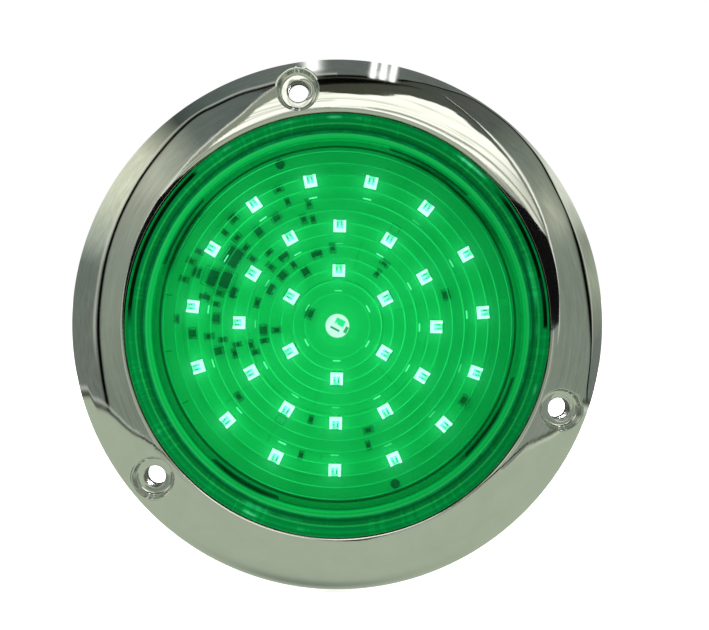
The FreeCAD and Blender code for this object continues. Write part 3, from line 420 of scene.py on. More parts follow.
def mat_lens_rings():
    """Inner face with the optic rings, and the light the LEDs throw on it."""
    m, n = material("lens_optic_rings")
    r, t = polar(n)
    co = n.coords("Object")
    turns = n.math("SUBTRACT", t, TURN / 360.0)
    # each ring is brighter towards its outer edge
    s = n.math("FRACT", n.math("ADD", n.math("DIVIDE", n.math("SUBTRACT", 45.6, r), 3.09), 4.0))
    saw = n.ramp(s, [(0.0, (1, 1, 1)), (0.18, (0.72,) * 3), (0.45, (0.42,) * 3), (0.8, (0.30,) * 3), (0.97, (0.0,) * 3), (1.0, (0.0,) * 3)])
    inner = n.step(r, 45.3, 44.9)
    glow = n.mix(n.math("MULTIPLY", saw, inner), green(0.004), green(0.075, 0.004))
    # dashes of light between the rings of LEDs
    spots = None
    for r0, count, half in ((34.0, 15, 1.05), (21.5, 12, 1.0), (9.2, 6, 0.95)):
        d = nearest(n, turns, count, r0)
        across = n.step(n.math("ABSOLUTE", n.math("SUBTRACT", r, r0)), 0.26, 0.10)
        along = n.step(d, half + 0.25, half - 0.2)
        k = n.math("MULTIPLY", across, along)
        spots = k if spots is None else n.math("MAXIMUM", spots, k)
    vary = n.step(n.noise(co, 55.0, 1.0, 0.5), 0.36, 0.56)
    spots = n.math("MULTIPLY", spots, n.math("ADD", 0.25, n.math("MULTIPLY", vary, 0.75)))
    glow = n.mix(spots, glow, (0.75, 1.15, 0.85))
    # soft halo round each LED
    halo = None
    for r0, count in RINGS:
        d = nearest(n, turns, count, r0)
        e = n.math("SUBTRACT", r, r0)
        q = n.math("ADD", n.math("MULTIPLY", d, d), n.math("MULTIPLY", e, e))
        k = n.math("ADD", n.math("EXPONENT", n.math("DIVIDE", q, -6.5)), n.math("MULTIPLY", n.math("EXPONENT", n.math("DIVIDE", q, -40.0)), 0.22))
        halo = k if halo is None else n.math("ADD", halo, k)
    halo = n.math("ADD", halo, n.math("MULTIPLY", n.math("EXPONENT", n.math("DIVIDE", n.math("MULTIPLY", r, r), -12.0)), 0.35))
    glow = n.mix(n.math("MULTIPLY", halo, 0.26), glow, (0.30, 1.0, 0.62), "ADD")
    # the bull's-eye enlarges the centre LED to a lit disc with its dark gaps
    sp = n.new("ShaderNodeSeparateXYZ")
    n.put(sp.inputs[0], co)
    x = n.math("MULTIPLY", sp.outputs[0], 1000.0)
    z = n.math("MULTIPLY", sp.outputs[2], 1000.0)
    ca, sa = math.cos(math.radians(28.0)), math.sin(math.radians(28.0))
    u = n.math("SUBTRACT", n.math("MULTIPLY", x, ca), n.math("MULTIPLY", z, sa))
    w = n.math("ADD", n.math("MULTIPLY", x, sa), n.math("MULTIPLY", z, ca))

    def patch(cu, cw, hu, hw, soft=0.12):
        a = n.step(n.math("ABSOLUTE", n.math("SUBTRACT", u, cu)), hu + soft, hu - soft)
        b = n.step(n.math("ABSOLUTE", n.math("SUBTRACT", w, cw)), hw + soft, hw - soft)
        return n.math("MULTIPLY", a, b)

    disc = n.step(r, 3.20, 2.98)
    glyph = n.mix(patch(0.19, 1.12, 1.28, 0.88), (3.3, 1.32, 1.75), (0.1, 1.12, 0.55))
    glyph = n.mix(patch(-0.55, 0.46, 0.34, 0.22), glyph, (1.6, 1.25, 1.2))
    glyph = n.mix(patch(-0.18, -1.06, 1.28, 0.27), glyph, (0.2, 0.42, 0.32))
    glyph = n.mix(patch(2.50, 0.08, 0.45, 0.88), glyph, (0.1, 0.62, 0.32))
    glow = n.mix(disc, glow, glyph)
    k = side_gain(n, r, t)
    glow = n.mix(1.0, glow, n.new_vec(k), "MULTIPLY")
    lens_shader(n, n.mix(disc, T1, (0.0, 0.0, 0.0)), (0.0, 0.45, 0.13), 0.02, glow, None, 0.0)
    return m


def mat_lens_steps():
    """The short walls between optic rings catch the light as thin bright lines."""
    m, n = material("lens_ring_edges")
    r, t = polar(n)
    co = n.coords("Object")
    v = n.noise(co, 38.0, 3.0, 0.6)
    k = n.step(v, 0.30, 0.66)
    glow = n.mix(k, (0.005, 0.08, 0.025), (0.06, 0.46, 0.17))
    glow = n.mix(n.step(r, 12.0, 7.0), glow, (0.005, 0.10, 0.03))
    glow = n.mix(n.step(r, 44.0, 47.0), glow, n.mix(k, (0.0, 0.06, 0.02), (0.03, 0.30, 0.12)))
    lens_shader(n, (0.30, 0.92, 0.62), (0.02, 0.6, 0.2), 0.25, n.mix(1.0, glow, n.new_vec(side_gain(n, r, t)), "MULTIPLY"), None, 0.0)
    return m


def mat_lens_side():
    m, n = material("lens_side_wall")
    co = n.coords("Object")
    r, t = polar(n)
    # painted light: the side wall glows in streaks
    streak = n.noise(n.scaled(co, 220.0, 20.0, 220.0), 1.0, 3.0, 0.6)
    glow = n.mix(n.step(streak, 0.35, 0.7), (0.0, 0.06, 0.02), (0.0, 0.15, 0.05))
    lens_shader(n, (0.30, 0.82, 0.55), (0.0, 0.5, 0.16), 0.12, glow, None, 0.8)
    return m


def mat_board():
    m, n = material("board_mask")
    r, t = polar(n)
    co = n.coords("Object")
    cloud = n.noise(co, 60.0, 4.0, 0.6)
    weave = n.noise(co, 2600.0, 2.0, 0.5)
    # painted light and shade: the board's colour follows the falloff and is dimmer to the right
    fall = n.ramp(n.math("DIVIDE", r, 50.0), BOARD_PAINTED_FALLOFF)
    col = n.mix(1.0, n.mix(cloud, (0.66, 0.74, 0.66), (0.74, 0.82, 0.74)), fall, "MULTIPLY")
    col = n.mix(1.0, col, n.new_vec(side_gain(n, r, t)), "MULTIPLY")
    p = principled(n, Base_Color=col, Roughness=n.math("ADD", 0.38, n.math("MULTIPLY", cloud, 0.15)), Normal=n.bump(weave, 0.06, 0.0001))
    # painted light: the board glows green along the same falloff, though it is no lamp
    em = n.mix(1.0, (0.10, 0.42, 0.26), fall, "MULTIPLY")
    n.put(p.inputs["Emission Color"], em)
    p.inputs["Emission Strength"].default_value = 0.20
    finish_mat(n, p.outputs[0])
    return m


def mat_retainer():
    """Pale ring, its upright walls in shade."""
    m, n = material("retainer_plastic")
    co = n.coords("Object")
    cloud = n.noise(co, 70.0, 4.0, 0.6)
    g = n.new("ShaderNodeNewGeometry")
    sp = n.new("ShaderNodeSeparateXYZ")
    n.put(sp.inputs[0], g.outputs["Normal"])
    flat = n.step(n.math("ABSOLUTE", sp.outputs[1]), 0.3, 0.8)
    pos = n.new("ShaderNodeSeparateXYZ")
    n.put(pos.inputs[0], co)
    # painted shade: the deeper part of the ring is darkened as well
    deep = n.step(pos.outputs[1], 0.0030, 0.0050)
    col = n.mix(flat, (0.02, 0.03, 0.02), n.mix(cloud, (0.42, 0.50, 0.42), (0.50, 0.58, 0.50)))
    col = n.mix(deep, col, (0.03, 0.05, 0.03))
    p = principled(n, Base_Color=col, Roughness=n.math("ADD", 0.4, n.math("MULTIPLY", cloud, 0.15)), Normal=n.bump(n.noise(co, 1500.0), 0.08, 0.0001))
    finish_mat(n, p.outputs[0])
    return m


def lit(name, camera_col, camera_k, other_col, other_k, vary=120.0):
    """A lit surface: how bright it looks, and how much light it gives."""
    m, n = material(name)
    co = n.coords("Object")
    v = n.noise(co, vary, 2.0, 0.5)
    p = n.new("ShaderNodeLightPath")
    cam = p.outputs["Is Camera Ray"]
    e = n.new("ShaderNodeEmission")
    n.put(e.inputs["Color"], n.mix(cam, other_col, n.mix(n.step(v, 0.3, 0.7), camera_col, tuple(c * 1.12 for c in camera_col))))
    s = n.math("ADD", other_k, n.math("MULTIPLY", cam, camera_k - other_k))
    n.put(e.inputs["Strength"], n.math("MULTIPLY", s, n.math("ADD", 0.85, n.math("MULTIPLY", v, 0.3))))
    d = principled(n, Base_Color=(0.8, 0.84, 0.8), Roughness=0.4, Normal=n.bump(n.noise(co, 1500.0, 2.0, 0.5), 0.08, 0.0001))
    a = n.new("ShaderNodeAddShader")
    n.t.links.new(e.outputs[0], a.inputs[0])
    n.t.links.new(d.outputs[0], a.inputs[1])
    finish_mat(n, a.outputs[0])
    return m


# ============================================================ mesh helpers
def arc(a, b, radius, side, steps):
    """Points after a up to and including b on an arc, side +1: centre on the left."""
    ax, ay = a
    bx, by = b
    dx, dy = bx - ax, by - ay
    d = math.hypot(dx, dy)
    lift = math.sqrt(max(radius * radius - d * d / 4.0, 0.0))
    cx = (ax + bx) / 2 - dy / d * lift * side
    cy = (ay + by) / 2 + dx / d * lift * side
    a0 = math.atan2(ay - cy, ax - cx)
    a1 = math.atan2(by - cy, bx - cx)
    if side > 0 and a1 < a0:
        a1 += 2 * math.pi
    if side < 0 and a1 > a0:
        a1 -= 2 * math.pi
    return [(cx + radius * math.cos(a0 + (a1 - a0) * i / steps), cy + radius * math.sin(a0 + (a1 - a0) * i / steps)) for i in range(1, steps + 1)]


def prof(*items):
    """Profile of (r, level, sharp). An item is (r, level[, sharp]) or
    ("arc", r, level, radius, side, steps[, sharp_end])."""
    out = []
    for it in items:
        if it[0] == "arc":
            _, r, l, rad, side, steps = it[:6]
            end_sharp = it[6] if len(it) > 6 else False
            pts = arc(out[-1][:2], (r, l), rad, side, steps)
            for i, (x, y) in enumerate(pts):
                out.append((x, y, end_sharp and i == len(pts) - 1))
        else:
            out.append((it[0], it[1], it[2] if len(it) > 2 else True))
    return out


def new_object(name, mesh, mats=()):
    o = bpy.data.objects.new(name, mesh)
    scene.collection.objects.link(o)
    for m in mats:
        mesh.materials.append(m)
    return o


def set_smooth(mesh):
    mesh.polygons.foreach_set("use_smooth", [True] * len(mesh.polygons))


def recalc(mesh):
    bm = bmesh.new()
    bm.from_mesh(mesh)
    bmesh.ops.recalc_face_normals(bm, faces=bm.faces)
    bm.to_mesh(mesh)
    bm.free()


def lathe_mesh(name, pr, segs, closed=True, centre=(0.0, 0.0), face_mat=None):
    """Turns a profile about an axis along Y through centre (x, z) in mm."""
    n = len(pr)
    verts, which, idx = [], [], []
    pole = {}
    for j in range(segs):
        a = 2 * math.pi * j / segs
        s, c = math.sin(a), math.cos(a)
        row = []
        for i, (r, l, _) in enumerate(pr):
            if r < 1e-6:
                if i not in pole:
                    pole[i] = len(verts)
                    verts.append((centre[0] * MM, -l * MM, centre[1] * MM))
                    which.append(i)
                row.append(pole[i])
            else:
                row.append(len(verts))
                verts.append(((centre[0] + r * s) * MM, -l * MM, (centre[1] + r * c) * MM))
                which.append(i)
        idx.append(row)
    faces, mids = [], []
    for i in range(n if closed else n - 1):
        k = (i + 1) % n
        if pr[i][0] < 1e-6 and pr[k][0] < 1e-6:
            continue
        for j in range(segs):
            j2 = (j + 1) % segs
            f = []
            for v in (idx[j][i], idx[j][k], idx[j2][k], idx[j2][i]):
                if v not in f:
                    f.append(v)
            faces.append(f)
            mids.append(face_mat(i) if face_mat else 0)
    me = bpy.data.meshes.new(name)
    me.from_pydata(verts, [], faces)
    me.polygons.foreach_set("material_index", mids)
    set_smooth(me)
    recalc(me)
    which = np.array(which)
    sharp = np.array([p[2] for p in pr])
    ev = np.empty(len(me.edges) * 2, int)
    me.edges.foreach_get("vertices", ev)
    ev = ev.reshape(-1, 2)
    flag = (which[ev[:, 0]] == which[ev[:, 1]]) & sharp[which[ev[:, 0]]]
    at = me.attributes.get("sharp_edge") or me.attributes.new("sharp_edge", "BOOLEAN", "EDGE")
    at.data.foreach_set("value", flag)
    return me


def rounded_loop(hw, ht, c, cz, per=10):
    """Outline of a rounded rectangle in (x, z), clockwise from the top left."""
    pts = []
    for sx, sz, a0 in ((1, 1, 90), (1, -1, 0), (-1, -1, -90), (-1, 1, 180)):
        ox, oz = sx * (hw - c), cz + sz * (ht - c)
        for i in range(per + 1):
            a = math.radians(a0 - 90.0 * i / per)
            pts.append((ox + c * math.cos(a), oz + c * math.sin(a)))
    return pts


def loft_mesh(name, rings, caps=True):
    """rings: [(level, [(x, z), ...]), ...] all of the same length."""
    n = len(rings[0][1])
    verts = [(x * MM, -l * MM, z * MM) for l, pts in rings for x, z in pts]
    faces = []
    for k in range(len(rings) - 1):
        for i in range(n):
            i2 = (i + 1) % n
            faces.append((k * n + i, k * n + i2, (k + 1) * n + i2, (k + 1) * n + i))
    if caps:
        faces.append(tuple(range(n)))
        faces.append(tuple(range((len(rings) - 1) * n, len(rings) * n)))
    me = bpy.data.meshes.new(name)
    me.from_pydata(verts, [], faces)
    recalc(me)
    return me


def sharpen(mesh, degrees=32.0):
    """Smooth shading, with edges sharper than the angle kept."""
    set_smooth(mesh)
    mesh.set_sharp_from_angle(angle=math.radians(degrees))


def turned(mesh, degrees):
    """Turns the mesh clockwise about the lamp's axis."""
    mesh.transform(Matrix.Rotation(math.radians(degrees), 4, "Y"))


def carve(base, ops):
    """Applies booleans in turn and leaves one clean mesh."""
    for i, (tool, kind) in enumerate(ops):
        m = base.modifiers.new("b%d" % i, "BOOLEAN")
        m.operation = kind
        m.solver = "EXACT"
        m.object = tool
    dg = bpy.context.evaluated_depsgraph_get()
    me = bpy.data.meshes.new_from_object(base.evaluated_get(dg))
    base.modifiers.clear()
    base.data = me
    for tool, _ in ops:
        bpy.data.objects.remove(tool)
    return me


def tidy(mesh):
    """Merges doubled points and drops slivers left by a boolean."""
    bm = bmesh.new()
    bm.from_mesh(mesh)
    bmesh.ops.remove_doubles(bm, verts=bm.verts, dist=1e-7)
    bmesh.ops.dissolve_degenerate(bm, dist=1e-7, edges=bm.edges)
    bmesh.ops.holes_fill(bm, edges=[e for e in bm.edges if len(e.link_faces) == 1], sides=8)
    bm.to_mesh(mesh)
    bm.free()


def profile_segments(pr, outward=1.0):
    """[(p0, p1, n0, n1)] of a closed profile, with smooth normals where it isn't sharp."""
    n = len(pr)
    area = sum(pr[i][0] * pr[(i + 1) % n][1] - pr[(i + 1) % n][0] * pr[i][1] for i in range(n))
    sgn = (1.0 if area > 0 else -1.0) * outward
    own = []
    for i in range(n):
        a, b = pr[i], pr[(i + 1) % n]
        d = (b[0] - a[0], b[1] - a[1])
        L = math.hypot(*d) or 1.0
        own.append(np.array((d[1] / L, -d[0] / L)) * sgn)
    segs = []
    for i in range(n):
        a, b = pr[i], pr[(i + 1) % n]
        n0 = own[i] if a[2] else own[i] + own[i - 1]
        n1 = own[i] if b[2] else own[i] + own[(i + 1) % n]
        segs.append((np.array(a[:2]), np.array(b[:2]), n0 / np.linalg.norm(n0), n1 / np.linalg.norm(n1)))
    return segs


def turned_normals(mesh, surfaces):
    """Exact normals for a mesh carved from turned shapes. surfaces[material
    index] = (segments, [(x, z) axes in mm])."""
    nl = len(mesh.loops)
    co = np.empty(len(mesh.vertices) * 3)
    mesh.vertices.foreach_get("co", co)
    co = co.reshape(-1, 3) * 1000.0
    lv = np.empty(nl, int)
    mesh.loops.foreach_get("vertex_index", lv)
    base = np.empty(nl * 3)
    mesh.corner_normals.foreach_get("vector", base)
    base = base.reshape(-1, 3)
    npoly = len(mesh.polygons)
    start = np.empty(npoly, int)
    total = np.empty(npoly, int)
    mi = np.empty(npoly, int)
    cen = np.empty(npoly * 3)
    fno = np.empty(npoly * 3)
    mesh.polygons.foreach_get("loop_start", start)
    mesh.polygons.foreach_get("loop_total", total)
    mesh.polygons.foreach_get("material_index", mi)
    mesh.polygons.foreach_get("center", cen)
    mesh.polygons.foreach_get("normal", fno)
    cen = cen.reshape(-1, 3) * 1000.0
    fno = fno.reshape(-1, 3)
    pl = np.repeat(np.arange(npoly), total)
    out = base.copy()
    for k, (segs, axes) in surfaces.items():
        faces = np.where(mi == k)[0]
        if not len(faces):
            continue
        ax = np.array(axes, float)
        c = cen[faces]
        d = np.hypot(c[:, 0, None] - ax[None, :, 0], c[:, 2, None] - ax[None, :, 1])
        which = d.argmin(1)
        rho = d[np.arange(len(faces)), which]
        pt = np.stack([rho, -c[:, 1]], 1)
        best, dist = np.zeros(len(faces), int), np.full(len(faces), 1e9)
        A = np.array([s[0] for s in segs])
        B = np.array([s[1] for s in segs])
        for i in range(len(segs)):
            ab = B[i] - A[i]
            L2 = max(ab @ ab, 1e-12)
            t = np.clip(((pt - A[i]) @ ab) / L2, 0, 1)
            q = A[i] + t[:, None] * ab
            dd = np.hypot(*(pt - q).T)
            better = dd < dist
            best[better], dist[better] = i, dd[better]
        fi = np.full(npoly, -1)
        fi[faces] = np.arange(len(faces))
        loops = np.where(mi[pl] == k)[0]
        lf = fi[pl[loops]]
        v = co[lv[loops]]
        axis = ax[which[lf]]
        rad = np.stack([v[:, 0] - axis[:, 0], v[:, 2] - axis[:, 1]], 1)
        rl = np.hypot(*rad.T)
        seg = best[lf]
        N0 = np.array([s[2] for s in segs])[seg]
        N1 = np.array([s[3] for s in segs])[seg]
        a, b = A[seg], B[seg]
        ab = b - a
        q = np.stack([rl, -v[:, 1]], 1)
        t = np.clip(((q - a) * ab).sum(1) / np.maximum((ab * ab).sum(1), 1e-12), 0, 1)[:, None]
        n2 = N0 * (1 - t) + N1 * t
        dirs = rad / np.maximum(rl, 1e-9)[:, None]
        nn = np.stack([n2[:, 0] * dirs[:, 0], -n2[:, 1], n2[:, 0] * dirs[:, 1]], 1)
        L = np.linalg.norm(nn, axis=1, keepdims=True)
        nn = nn / np.maximum(L, 1e-9)
        flip = (nn * fno[pl[loops]]).sum(1) < 0
        nn[flip] = fno[pl[loops]][flip]
        out[loops] = nn
    set_smooth(mesh)
    mesh.normals_split_custom_set(out)


def clock_xy(r, clock):
    a = math.radians(clock)
    return r * math.sin(a), r * math.cos(a)


PIECES = []


def place(obj, body, slot, *nodes):
    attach(obj, body)
    if nodes:
        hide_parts(*nodes)
    PIECES.append(obj)
    return obj


# ============================================================ chrome flange
CHROME = mat_chrome()
CREST_R, CREST, BIG, SH_R, FL_R = 57.8, 10.5, 22.0, 66.0, 69.85
OPEN_R, LIP = 54.85, 0.45
run = CREST_R - OPEN_R - LIP
LIP_MID = CREST - BIG + math.sqrt((BIG - LIP) ** 2 - run ** 2)
LIP_R = CREST_R - run * BIG / (BIG - LIP)
LIP_L = CREST - BIG + math.sqrt(BIG ** 2 - (CREST_R - LIP_R) ** 2)
lean = (SH_R - CREST_R) / BIG
SH_L = CREST - BIG + math.sqrt(BIG ** 2 - (SH_R - CREST_R) ** 2)
SH_ARC = (FL_R - SH_R) / (1 - lean)
EDGE_L = SH_L - SH_ARC * math.sqrt(1 - lean ** 2)
flange_prof = prof(
    (57.0, 2.0), (57.0, 4.3), (OPEN_R + 0.2, 4.3), (OPEN_R, 4.5), (OPEN_R, LIP_MID, False),
    ("arc", LIP_R, LIP_L, LIP, -1, 10), ("arc", CREST_R, CREST, BIG, -1, 10), ("arc", SH_R, SH_L, BIG, -1, 26),
    ("arc", FL_R, EDGE_L, SH_ARC, -1, 40), (FL_R, 2.35, False), ("arc", FL_R - 0.35, 2.0, 0.35, -1, 5, True),
    (67.4, 2.0), (67.4, 4.2), (65.6, 6.1), (63.0, 7.6), (58.8, 8.1), (58.8, 2.0))
boss_prof = prof((0.0, 1.0), (5.95, 1.0), (5.95, 9.4, False), ("arc", 5.65, 9.7, 0.3, 1, 6, True), (0.0, 9.7))
well_prof = prof((0.0, -1.0), (2.75, -1.0), (2.75, 6.05, False), ("arc", 3.1, 6.4, 0.35, -1, 6, False), (4.05, 6.4, False),
                 ("arc", 5.25, 7.6, 1.2, 1, 12), (5.25, 9.4, False), ("arc", 5.56, 9.73, 0.33, -1, 6, False), (5.95, 11.6), (0.0, 11.6))
# a boss only shows above the dome and inside the flange's shell, so it starts
# inside the dome and not at its foot
holes = [clock_xy(61.9, FLANGE_TURN + 120.0 * k) for k in range(3)]
seg_main = 512
fl = new_object("chrome_flange_skin", lathe_mesh("chrome_flange_skin", flange_prof, seg_main), [CHROME] * 4)
ops = []
boss_prof = prof((0.0, 2.02), (5.95, 2.02), (5.95, 9.4, False), ("arc", 5.65, 9.7, 0.3, 1, 6, True), (0.0, 9.7))
for k, c in enumerate(holes):
    o = new_object("tool_boss%d" % k, lathe_mesh("tool_boss", boss_prof, 128, centre=c, face_mat=lambda i: 1), [CHROME] * 4)
    # the boss stops inside the flange's inner wall, clear of the lamp's pocket
    cut = new_object("tool_trim%d" % k, lathe_mesh("tool_trim", prof((50.0, 1.0), (57.63, 1.0), (57.63, 12.0), (50.0, 12.0)), 360, face_mat=lambda i: 2), [CHROME] * 4)
    carve(o, [(cut, "DIFFERENCE")])
    ops.append((o, "UNION"))
for k, c in enumerate(holes):
    o = new_object("tool_well%d" % k, lathe_mesh("tool_well", well_prof, 128, centre=c, face_mat=lambda i: 3), [CHROME] * 4)
    ops.append((o, "DIFFERENCE"))
me = carve(fl, ops)
tidy(me)
turned_normals(me, {
    0: (profile_segments(flange_prof), [(0.0, 0.0)]),
    1: (profile_segments(boss_prof), holes),
    3: (profile_segments(well_prof, -1.0), holes)})
BORE = mat_bore()
idx = []
for poly in me.polygons:
    c = poly.center * 1000.0
    near = min(math.hypot(c.x - h[0], c.z - h[1]) for h in holes)
    idx.append(1 if near < 3.0 and -c.y < 6.2 else 2 if math.hypot(c.x, c.z) < OPEN_R + 0.36 and -c.y > LIP_MID - 0.1 else 0)
me.materials.clear()
me.materials.append(CHROME)
me.materials.append(BORE)
me.materials.append(mat_lip())
me.polygons.foreach_set("material_index", idx)
place(fl, "flange", "chrome", "chrome_flange")

# ============================================================ gasket
FOAM = mat_foam()
g_prof = prof((57.6, 0.15), ("arc", 57.75, 0.0, 0.15, 1, 3), (68.45, 0.0, False), ("arc", 68.6, 0.15, 0.15, 1, 3), (68.6, 1.98), (57.6, 1.98))
ga = new_object("gasket_ring", lathe_mesh("gasket_ring", g_prof, 256), [FOAM])
ops = []
for k, c in enumerate(holes):
    t = prof((0.0, -1.0), (2.75, -1.0), (2.75, 3.0), (0.0, 3.0))
    ops.append((new_object("tool_g%d" % k, lathe_mesh("tool_g", t, 48, centre=c), [FOAM]), "DIFFERENCE"))
sharpen(carve(ga, ops))
place(ga, "flange", "foam", "mounting_gasket")

# ============================================================ lens
L_OUT, L_RING, L_STEP, L_SIDE = mat_lens_outer(), mat_lens_rings(), mat_lens_steps(), mat_lens_side()
lens_items = [
    (49.15, 2.6), (56.25, 2.6), ("arc", 56.5, 2.85, 0.25, 1, 3), (56.5, 3.85, False), ("arc", 56.25, 4.1, 0.25, 1, 3, False),
    (53.25, 4.1, False), ("arc", 53.1, 3.95, 0.15, 1, 3, False), (53.1, 3.82, False), ("arc", 52.98, 3.7, 0.12, -1, 3, False), (51.3, 3.7, False),
    ("arc", 50.9, 4.1, 0.4, -1, 5, False), (50.35, 7.05, False), ("arc", 49.2, 8.2, 1.35, 1, 12, False)]
lens_prof = prof(*lens_items)
face_arc_r = (49.2 ** 2 + 0.5 ** 2) / (2 * 0.5)
n_outer_end = len(lens_prof)
lens_prof += [(x, y, False) for x, y in arc((49.2, 8.2), (0.0, 8.7), face_arc_r, 1, 24)]
n_face_end = len(lens_prof)
lens_prof.append((0.0, 5.2, False))
eye = arc((0.0, 5.2), (3.2, 6.5), (3.2 ** 2 + 1.3 ** 2) / (2 * 1.3), 1, 8)
lens_prof += [(x, y, i == len(eye) - 1) for i, (x, y) in enumerate(eye)]
kinds = {}
for k in range(12, -1, -1):
    r = 45.6 - 3.09 * k
    kinds[len(lens_prof)] = "wall"      # the edge after this point is the wall
    lens_prof.append((r - 0.24, 6.5, True))
    lens_prof.append((r + 0.14, 5.7, True))
lens_prof.append((48.2, 6.5, True))
n_in_side = len(lens_prof) - 1


def lens_face(i):
    if i in kinds:
        return 2
    if i >= n_in_side:
        return 3
    if i >= n_face_end - 1:
        return 1
    if 9 <= i <= n_outer_end - 1 and lens_prof[i][0] <= 51.4 and lens_prof[i][1] < 7.3:
        return 3
    return 0


lens_me = lathe_mesh("lens_cup", lens_prof, 384, face_mat=lens_face)
le = new_object("lens_cup", lens_me, [L_OUT, L_RING, L_STEP, L_SIDE])
place(le, "lamp", "lens_green", "lens")

# ============================================================ rear housing
BLACK = mat_plastic("housing_plastic", (0.011, 0.011, 0.012), (0.019, 0.019, 0.020), rough=(0.36, 0.55), grain=2200.0, bump=0.12, wear=0.10)
SZ = -20.6
h_prof = prof(
    (0.0, -18.0), (46.2, -18.0, False), ("arc", 49.0, -15.2, 2.8, 1, 12, False), (49.0, -8.6, False), ("arc", 49.25, -7.75, 1.5, -1, 4, False),
    (51.0, -6.0, False), ("arc", 51.3, -5.4, 1.2, 1, 4, False), (51.3, -0.1, False), ("arc", 51.7, 0.3, 0.4, -1, 4, False), (56.3, 0.3, False),
    ("arc", 56.5, 0.5, 0.2, 1, 3, False), (56.5, 1.8, False), ("arc", 56.3, 2.0, 0.2, 1, 3, False), (49.9, 2.0), (49.9, -6.6), (46.6, -6.6), (46.6, -16.0), (0.0, -16.0))
ho = new_object("housing_shell", lathe_mesh("housing_shell", h_prof, 320), [BLACK])


def slab(name, hw, ht, c, low, high, mats, chamfer=0.0):
    rings = []
    if chamfer > 0:
        rings.append((low, rounded_loop(hw - chamfer, ht - chamfer, max(c - chamfer, 0.3), SZ)))
        rings.append((low + chamfer, rounded_loop(hw, ht, c, SZ)))
    else:
        rings.append((low, rounded_loop(hw, ht, c, SZ)))
    rings.append((high, rounded_loop(hw, ht, c, SZ)))
    return new_object(name, loft_mesh(name, rings), mats)


ops = [(slab("tool_shroud", 17.1, 8.1, 5.6, -17.0, -7.4, [BLACK]), "UNION")]
for s in (1, -1):
    c = clock_xy(46.0 * s, 159.0)
    ops.append((new_object("tool_post%d" % s, lathe_mesh("tool_post", prof((0, -17.0), (1.2, -17.0), (1.2, -4.4, False), ("arc", 1.0, -4.2, 0.2, 1, 3, False), (0, -4.2)), 32, centre=c), [BLACK]), "UNION"))
# socket recess, a shallow moulding ring and ejector marks on the back
ops.append((slab("tool_recess", 15.5, 6.5, 4.0, -21.0, -9.0, [BLACK]), "DIFFERENCE"))
for k in (-1, 0, 1):
    ops.append((new_object("tool_tail%d" % k, lathe_mesh("tool_tail", prof((0, -10), (0.8, -10), (0.8, -6.0), (0, -6.0)), 24, centre=(8.7 * k, SZ)), [BLACK]), "DIFFERENCE"))
gr = prof((40.6, -18.6), (41.8, -18.6), (41.6, -17.65), (40.8, -17.65))
ops.append((new_object("tool_ring", lathe_mesh("tool_ring", gr, 256), [BLACK]), "DIFFERENCE"))
for k in range(6):
    # shallow ejector marks
    c = clock_xy(31.3, 33.1 + 60 * k)
    if k == 1 or (abs(c[1] - SZ) < 12 and abs(c[0]) < 21):
        continue
    ops.append((new_object("tool_mark%d" % k, lathe_mesh("tool_mark", prof((0, -18.6), (2.6, -18.6), (2.5, -17.8), (0, -17.8)), 40, centre=c), [BLACK]), "DIFFERENCE"))
me = carve(ho, ops)
tidy(me)
turned(me, TURN)
sharpen(me, 28.0)
place(ho, "lamp", "housing_black", "rear_housing")

# ============================================================ board and what it carries
BOARD = mat_board()
b_prof = prof((0.0, -6.6), (47.8, -6.6, False), (47.9, -6.5, False), (47.9, -5.1, False), (47.8, -5.0, False), (0.0, -5.0))
bo = new_object("board_disc", lathe_mesh("board_disc", b_prof, 256), [BOARD])
ops = []
for s in (1, -1):
    c = clock_xy(46.0 * s, 159.0)
    ops.append((new_object("tool_bh%d" % s, lathe_mesh("tool_bh", prof((0, -8), (1.28, -8), (1.28, -3), (0, -3)), 40, centre=c), [BOARD]), "DIFFERENCE"))
for k in (-1, 0, 1):
    ops.append((new_object("tool_bt%d" % k, lathe_mesh("tool_bt", prof((0, -8), (0.8, -8), (0.8, -5.5), (0, -5.5)), 24, centre=(8.7 * k, SZ)), [BOARD]), "DIFFERENCE"))
me = carve(bo, ops)
turned(me, TURN)
sharpen(me)
place(bo, "lamp", "board_white", "circuit_board")


